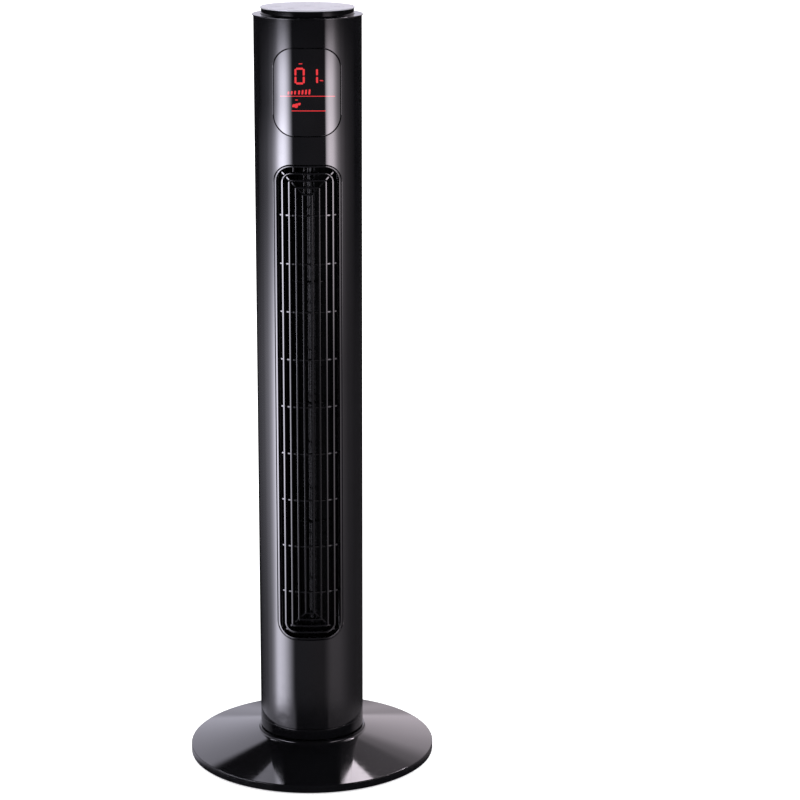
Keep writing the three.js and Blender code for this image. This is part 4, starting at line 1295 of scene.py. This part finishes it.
class FAN_OT_inner_finishes(FanOperator, bpy.types.Operator):
    """Finishes of the working parts inside the column"""

    bl_idname = "fan.inner_finishes"
    bl_label = "Inner parts"

    def build(self, finishes, sizes):
        for finish, nodes in INNER_FINISHES.items():
            for name in nodes:
                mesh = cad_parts[name].data
                mesh.materials.clear()
                mesh.materials.append(finishes[finish])


# ---------------------------------------------------------------- studio


def ramp_stops(node, stops):
    """Sets a colour ramp to grey stops of (angle in degrees, brightness from 0 to 1)."""
    ramp = node.color_ramp
    ramp.interpolation = "LINEAR"
    while len(ramp.elements) > 1:
        ramp.elements.remove(ramp.elements[-1])
    for i, (angle, value) in enumerate(stops):
        position = (angle + 180) / 360
        stop = ramp.elements.new(position) if i else ramp.elements[0]
        if i == 0:
            stop.position = position
        stop.color = (value, value, value, 1)


class Softbox(NamedTuple):
    """A soft light beside the fan, by its turn in degrees from the fan's front towards +X."""

    middle: float  # direction of its brightest line
    level: float  # brightness there
    inner: float  # turn over which it fades out towards the front
    outer: float  # turn over which it falls to a half towards the rear
    softness: float  # above 1 for a soft inner edge, below 1 for a hard one


SOFT, HARD = 1.5, 0.6
SOFTBOX_BRIGHTNESS = 24.0
KEY_BRIGHTNESS = 60.0
DARK_STUDIO = 0.02  # what is left where no light stands
INNER_SHARES = (0.25, 0.5, 0.75, 0.9)
OUTER_REACHES = (0, 0.5, 0.75, 1, 1.25, 1.5, 2, 3, 4)
LAST_REACH = 5.5


def softbox_stops(left, right, dark):
    """Ramp stops for a softbox on each side of a dark front."""
    stops = [(0, dark)]
    for box in (left, right):
        side = math.copysign(1, box.middle)
        stops.append((box.middle - side * box.inner, dark))
        for share in INNER_SHARES:
            fade = math.cos(math.pi / 2 * share) ** box.softness
            stops.append((box.middle - side * box.inner * share, dark + (box.level - dark) * fade))
        for reach in OUTER_REACHES:
            stops.append((box.middle + side * box.outer * reach, box.level / (1 + reach**3)))
        stops.append((box.middle + side * box.outer * LAST_REACH, 0))
    return sorted(stop for stop in stops if abs(stop[0]) < 180)


# Lower down, the left softbox stands further round and the right one ends.
TOP_LEVEL = softbox_stops(Softbox(-53, 0.58, 21, 13, SOFT), Softbox(48, 0.42, 10.5, 13, HARD), 0.004)
NEAR_LEVEL = softbox_stops(Softbox(-55, 0.97, 23, 14.5, SOFT), Softbox(49, 0.54, 11, 13, HARD), 0.004)
MIDDLE_LEVEL = softbox_stops(Softbox(-70, 0.74, 38, 16, SOFT), Softbox(49, 0.09, 11, 22, HARD), 0.006)
LOW_LEVEL = softbox_stops(Softbox(-73, 0.48, 37, 14, SOFT), Softbox(50, 0.033, 22, 32, SOFT), 0.008)
KEY_LIGHTS = softbox_stops(Softbox(-92, 0.55, 6, 28, HARD), Softbox(94, 1.0, 8, 42, HARD), 0)
FOOT_LEVEL = [(-180, 0), (-130, 0.8), (-40, 0.9), (-32, 0), (36, 0), (40, 0.2), (110, 0.3), (180, 0)]
BELOW_LEVEL = [(-180, 0.1), (-80, 1.0), (-60, 0.8), (-38, 0), (38, 0), (60, 0.5), (80, 0.6), (180, 0.1)]
BACKDROP = [(-180, 1.0), (-115, 1.0), (-95, 0), (95, 0), (115, 1.0), (180, 1.0)]
REAR_LEFT = [(-180, 1.0), (-110, 0.9), (-80, 0), (165, 0), (180, 1.0)]
REAR_RIGHT = [(-180, 0), (70, 0), (90, 0.8), (120, 1.0), (170, 1.0), (180, 0)]


class FAN_OT_studio(FanOperator, bpy.types.Operator):
    """Pale floor, soft studio light and the camera"""

    bl_idname = "fan.studio"
    bl_label = "Studio"

    def build(self, finishes, sizes):
        self.add_camera()
        self.add_floor()
        self.add_surroundings()

    def add_camera(self):
        data = bpy.data.cameras.new("camera")
        data.lens, data.sensor_width = 113.70, 36.0
        data.clip_start, data.clip_end = 0.1, 100
        camera = bpy.data.objects.new("camera", data)
        bpy.context.scene.collection.objects.link(camera)
        yaw, pitch, roll = math.radians(0.8045), math.radians(14.238), 0.0025
        forward = Vector((math.cos(pitch) * math.sin(yaw), math.cos(pitch) * math.cos(yaw), -math.sin(pitch)))
        right = Vector((math.cos(yaw), -math.sin(yaw), 0))
        upward = right.cross(forward)
        across = right * math.cos(roll) + upward * math.sin(roll)
        above = upward * math.cos(roll) - right * math.sin(roll)
        camera.matrix_world = Matrix.Translation((0.0700, -3.0865, 1.2506)) @ Matrix(
            (across, above, -forward)
        ).transposed().to_4x4()
        bpy.context.scene.camera = camera

    def add_floor(self):
        work = bmesh.new()
        bmesh.ops.create_grid(work, x_segments=1, y_segments=1, size=40)
        mesh = bpy.data.meshes.new("floor")
        work.to_mesh(mesh)
        work.free()
        material, tree, shader, place = start_material("pale_floor", Roughness=1.0)
        shader.inputs["Specular IOR Level"].default_value = 0.0
        colour = mix_colours(tree, noise(tree, place, 1.0), hexcolour("f4f4f4"), hexcolour("fafafa"))
        tree.links.new(colour, shader.inputs["Base Color"])
        shader.inputs["Emission Color"].default_value = (1, 1, 1, 1)
        shader.inputs["Emission Strength"].default_value = 0.55
        mesh.materials.append(material)
        floor = bpy.data.objects.new("floor", mesh)
        bpy.context.scene.collection.objects.link(floor)
        floor.visible_glossy = False
        floor.visible_shadow = False

    def add_surroundings(self):
        """A world whose brightness depends on direction, as softboxes round the fan would give."""
        world = bpy.data.worlds.new("studio")
        bpy.context.scene.world = world
        world.use_nodes = True
        # Diffuse surfaces are lit by the even fill alone, so only rays that leave them look at the world.
        world.cycles.sampling_method = "NONE"
        tree = world.node_tree
        tree.nodes.clear()
        direction = add_node(tree, "ShaderNodeTexCoord").outputs["Generated"]
        axes = add_node(tree, "ShaderNodeSeparateXYZ", links={"Vector": direction})
        front = add_node(
            tree, "ShaderNodeMath", {"operation": "MULTIPLY"}, {1: -1.0}, {0: axes.outputs["Y"]}
        ).outputs[0]
        azimuth = add_node(
            tree, "ShaderNodeMath", {"operation": "ARCTAN2"}, links={0: axes.outputs["X"], 1: front}
        ).outputs[0]
        around = add_node(
            tree, "ShaderNodeMapRange", values={"From Min": -math.pi, "From Max": math.pi},
            links={"Value": azimuth},
        ).outputs["Result"]
        elevation = add_node(
            tree, "ShaderNodeMath", {"operation": "ARCSINE"}, links={0: axes.outputs["Z"]}
        ).outputs[0]

        # The key lights hang lower towards the rear: their lower edge drops by a degree in every 25 of turn.
        turn = add_node(
            tree, "ShaderNodeMath", {"operation": "ABSOLUTE"}, links={0: azimuth}
        ).outputs[0]
        lowered = add_node(
            tree, "ShaderNodeMath", {"operation": "MULTIPLY_ADD"}, {1: 0.0405, 2: -math.radians(93) * 0.0405},
            {0: turn},
        ).outputs[0]
        slanted = add_node(
            tree, "ShaderNodeMath", {"operation": "ADD"}, links={0: elevation, 1: lowered}
        ).outputs[0]

        def band(stops, brightness, edges, lower=elevation):
            """Light of one band of heights: azimuth stops, brightness and (fade in, full, full, fade out).

            lower is the height that the band's lower edge is measured on.
            """
            ramp = add_node(tree, "ShaderNodeValToRGB", links={"Fac": around})
            ramp_stops(ramp, stops)
            rising = add_node(
                tree, "ShaderNodeMapRange", {"interpolation_type": "SMOOTHSTEP"},
                {"From Min": math.radians(edges[0]), "From Max": math.radians(edges[1])}, {"Value": lower},
            ).outputs["Result"]
            falling = add_node(
                tree, "ShaderNodeMapRange", {"interpolation_type": "SMOOTHSTEP"},
                {"From Min": math.radians(edges[3]), "From Max": math.radians(edges[2])},
                {"Value": elevation},
            ).outputs["Result"]
            part = add_node(tree, "ShaderNodeMath", {"operation": "MULTIPLY"}, links={0: rising, 1: falling})
            level = add_node(
                tree, "ShaderNodeMath", {"operation": "MULTIPLY"}, {1: brightness}, {0: part.outputs[0]}
            )
            return add_node(
                tree, "ShaderNodeMath", {"operation": "MULTIPLY"},
                links={0: level.outputs[0], 1: ramp.outputs["Color"]},
            ).outputs[0]

        bands = [
            band(TOP_LEVEL, SOFTBOX_BRIGHTNESS, (-8.8, -7.4, -7.2, -5.2)),
            band(NEAR_LEVEL, SOFTBOX_BRIGHTNESS, (-14, -8.8, -8.8, -7.4)),
            band(MIDDLE_LEVEL, SOFTBOX_BRIGHTNESS, (-20, -15, -14, -8.8)),
            band(LOW_LEVEL, SOFTBOX_BRIGHTNESS, (-21.3, -21.0, -20, -15)),
            band(FOOT_LEVEL, 1.2, (-22.4, -22.1, -21.3, -21.0)),
            band(BELOW_LEVEL, 5.0, (-85, -70, -36, -26)),
            band(BACKDROP, 0.9, (-3, 3, 6, 9)),
            band(REAR_LEFT, 1.5, (6, 9, 32, 35)),
            band(REAR_RIGHT, 1.25, (6, 9, 25, 32)),
            band(REAR_RIGHT, 0.5, (25, 32, 52, 60)),
            band(KEY_LIGHTS, KEY_BRIGHTNESS, (45.0, 45.15, 45.3, 45.7), slanted),
        ]
        total = bands[0]
        for part in bands[1:]:
            total = add_node(
                tree, "ShaderNodeMath", {"operation": "ADD"}, links={0: total, 1: part}
            ).outputs[0]
        soft = add_node(
            tree, "ShaderNodeMath", {"operation": "ADD"}, {1: DARK_STUDIO}, {0: total}
        ).outputs[0]
        tint = add_node(tree, "ShaderNodeValToRGB", links={"Fac": around})
        cool, warm = tint.color_ramp.elements
        cool.position, cool.color = 0.45, (0.95, 0.93, 1.08, 1)
        warm.position, warm.color = 0.55, (1.04, 0.94, 1.03, 1)
        studio = add_node(
            tree, "ShaderNodeBackground", links={"Color": tint.outputs["Color"], "Strength": soft}
        )
        fill = add_node(
            tree, "ShaderNodeBackground", values={"Strength": 1.25, "Color": (0.98, 0.98, 1.0, 1)}
        )
        white = add_node(
            tree, "ShaderNodeBackground", values={"Strength": 1.0, "Color": (1, 1, 1, 1)}
        )
        rays = add_node(tree, "ShaderNodeLightPath").outputs
        lit = add_node(
            tree, "ShaderNodeMixShader",
            links={0: rays["Is Diffuse Ray"], 1: studio.outputs[0], 2: fill.outputs[0]},
        )
        mixed = add_node(
            tree, "ShaderNodeMixShader",
            links={0: rays["Is Camera Ray"], 1: lit.outputs[0], 2: white.outputs[0]},
        )
        add_node(tree, "ShaderNodeOutputWorld", links={"Surface": mixed.outputs[0]})
        bpy.context.scene.view_settings.view_transform = "Standard"


class FAN_PT_parts(bpy.types.Panel):
    """Buttons for every group of pieces, with the sizes and colours"""

    bl_idname = "FAN_PT_parts"
    bl_label = "Tower fan"
    bl_space_type = "VIEW_3D"
    bl_region_type = "UI"
    bl_category = "Tower fan"

    def draw(self, context):
        for group in (context.scene.fan_sizes, context.scene.fan_colours):
            for name in group.__annotations__:
                self.layout.prop(group, name)
        for operator in OPERATORS:
            self.layout.operator(operator.bl_idname)


OPERATORS = [
    FAN_OT_studio,
    FAN_OT_base,
    FAN_OT_swivel_ring,
    FAN_OT_housings,
    FAN_OT_outlet_grille,
    FAN_OT_inlet_grille,
    FAN_OT_display,
    FAN_OT_handle,
    FAN_OT_gland_and_screws,
    FAN_OT_top,
    FAN_OT_buttons,
    FAN_OT_impeller,
    FAN_OT_inner_finishes,
]
CLASSES = [FanSizes, FanColours, *OPERATORS, FAN_PT_parts]
FINISHES = {}


def register():
    for item in CLASSES:
        bpy.utils.register_class(item)
    bpy.types.Scene.fan_sizes = PointerProperty(type=FanSizes)
    bpy.types.Scene.fan_colours = PointerProperty(type=FanColours)


def unregister():
    del bpy.types.Scene.fan_colours
    del bpy.types.Scene.fan_sizes
    for item in reversed(CLASSES):
        bpy.utils.unregister_class(item)


def main():
    register()
    FINISHES.update(make_finishes(bpy.context.scene.fan_colours))
    for operator in OPERATORS:
        group, name = operator.bl_idname.split(".")
        getattr(getattr(bpy.ops, group), name)()


if __name__ == "__main__":
    main()
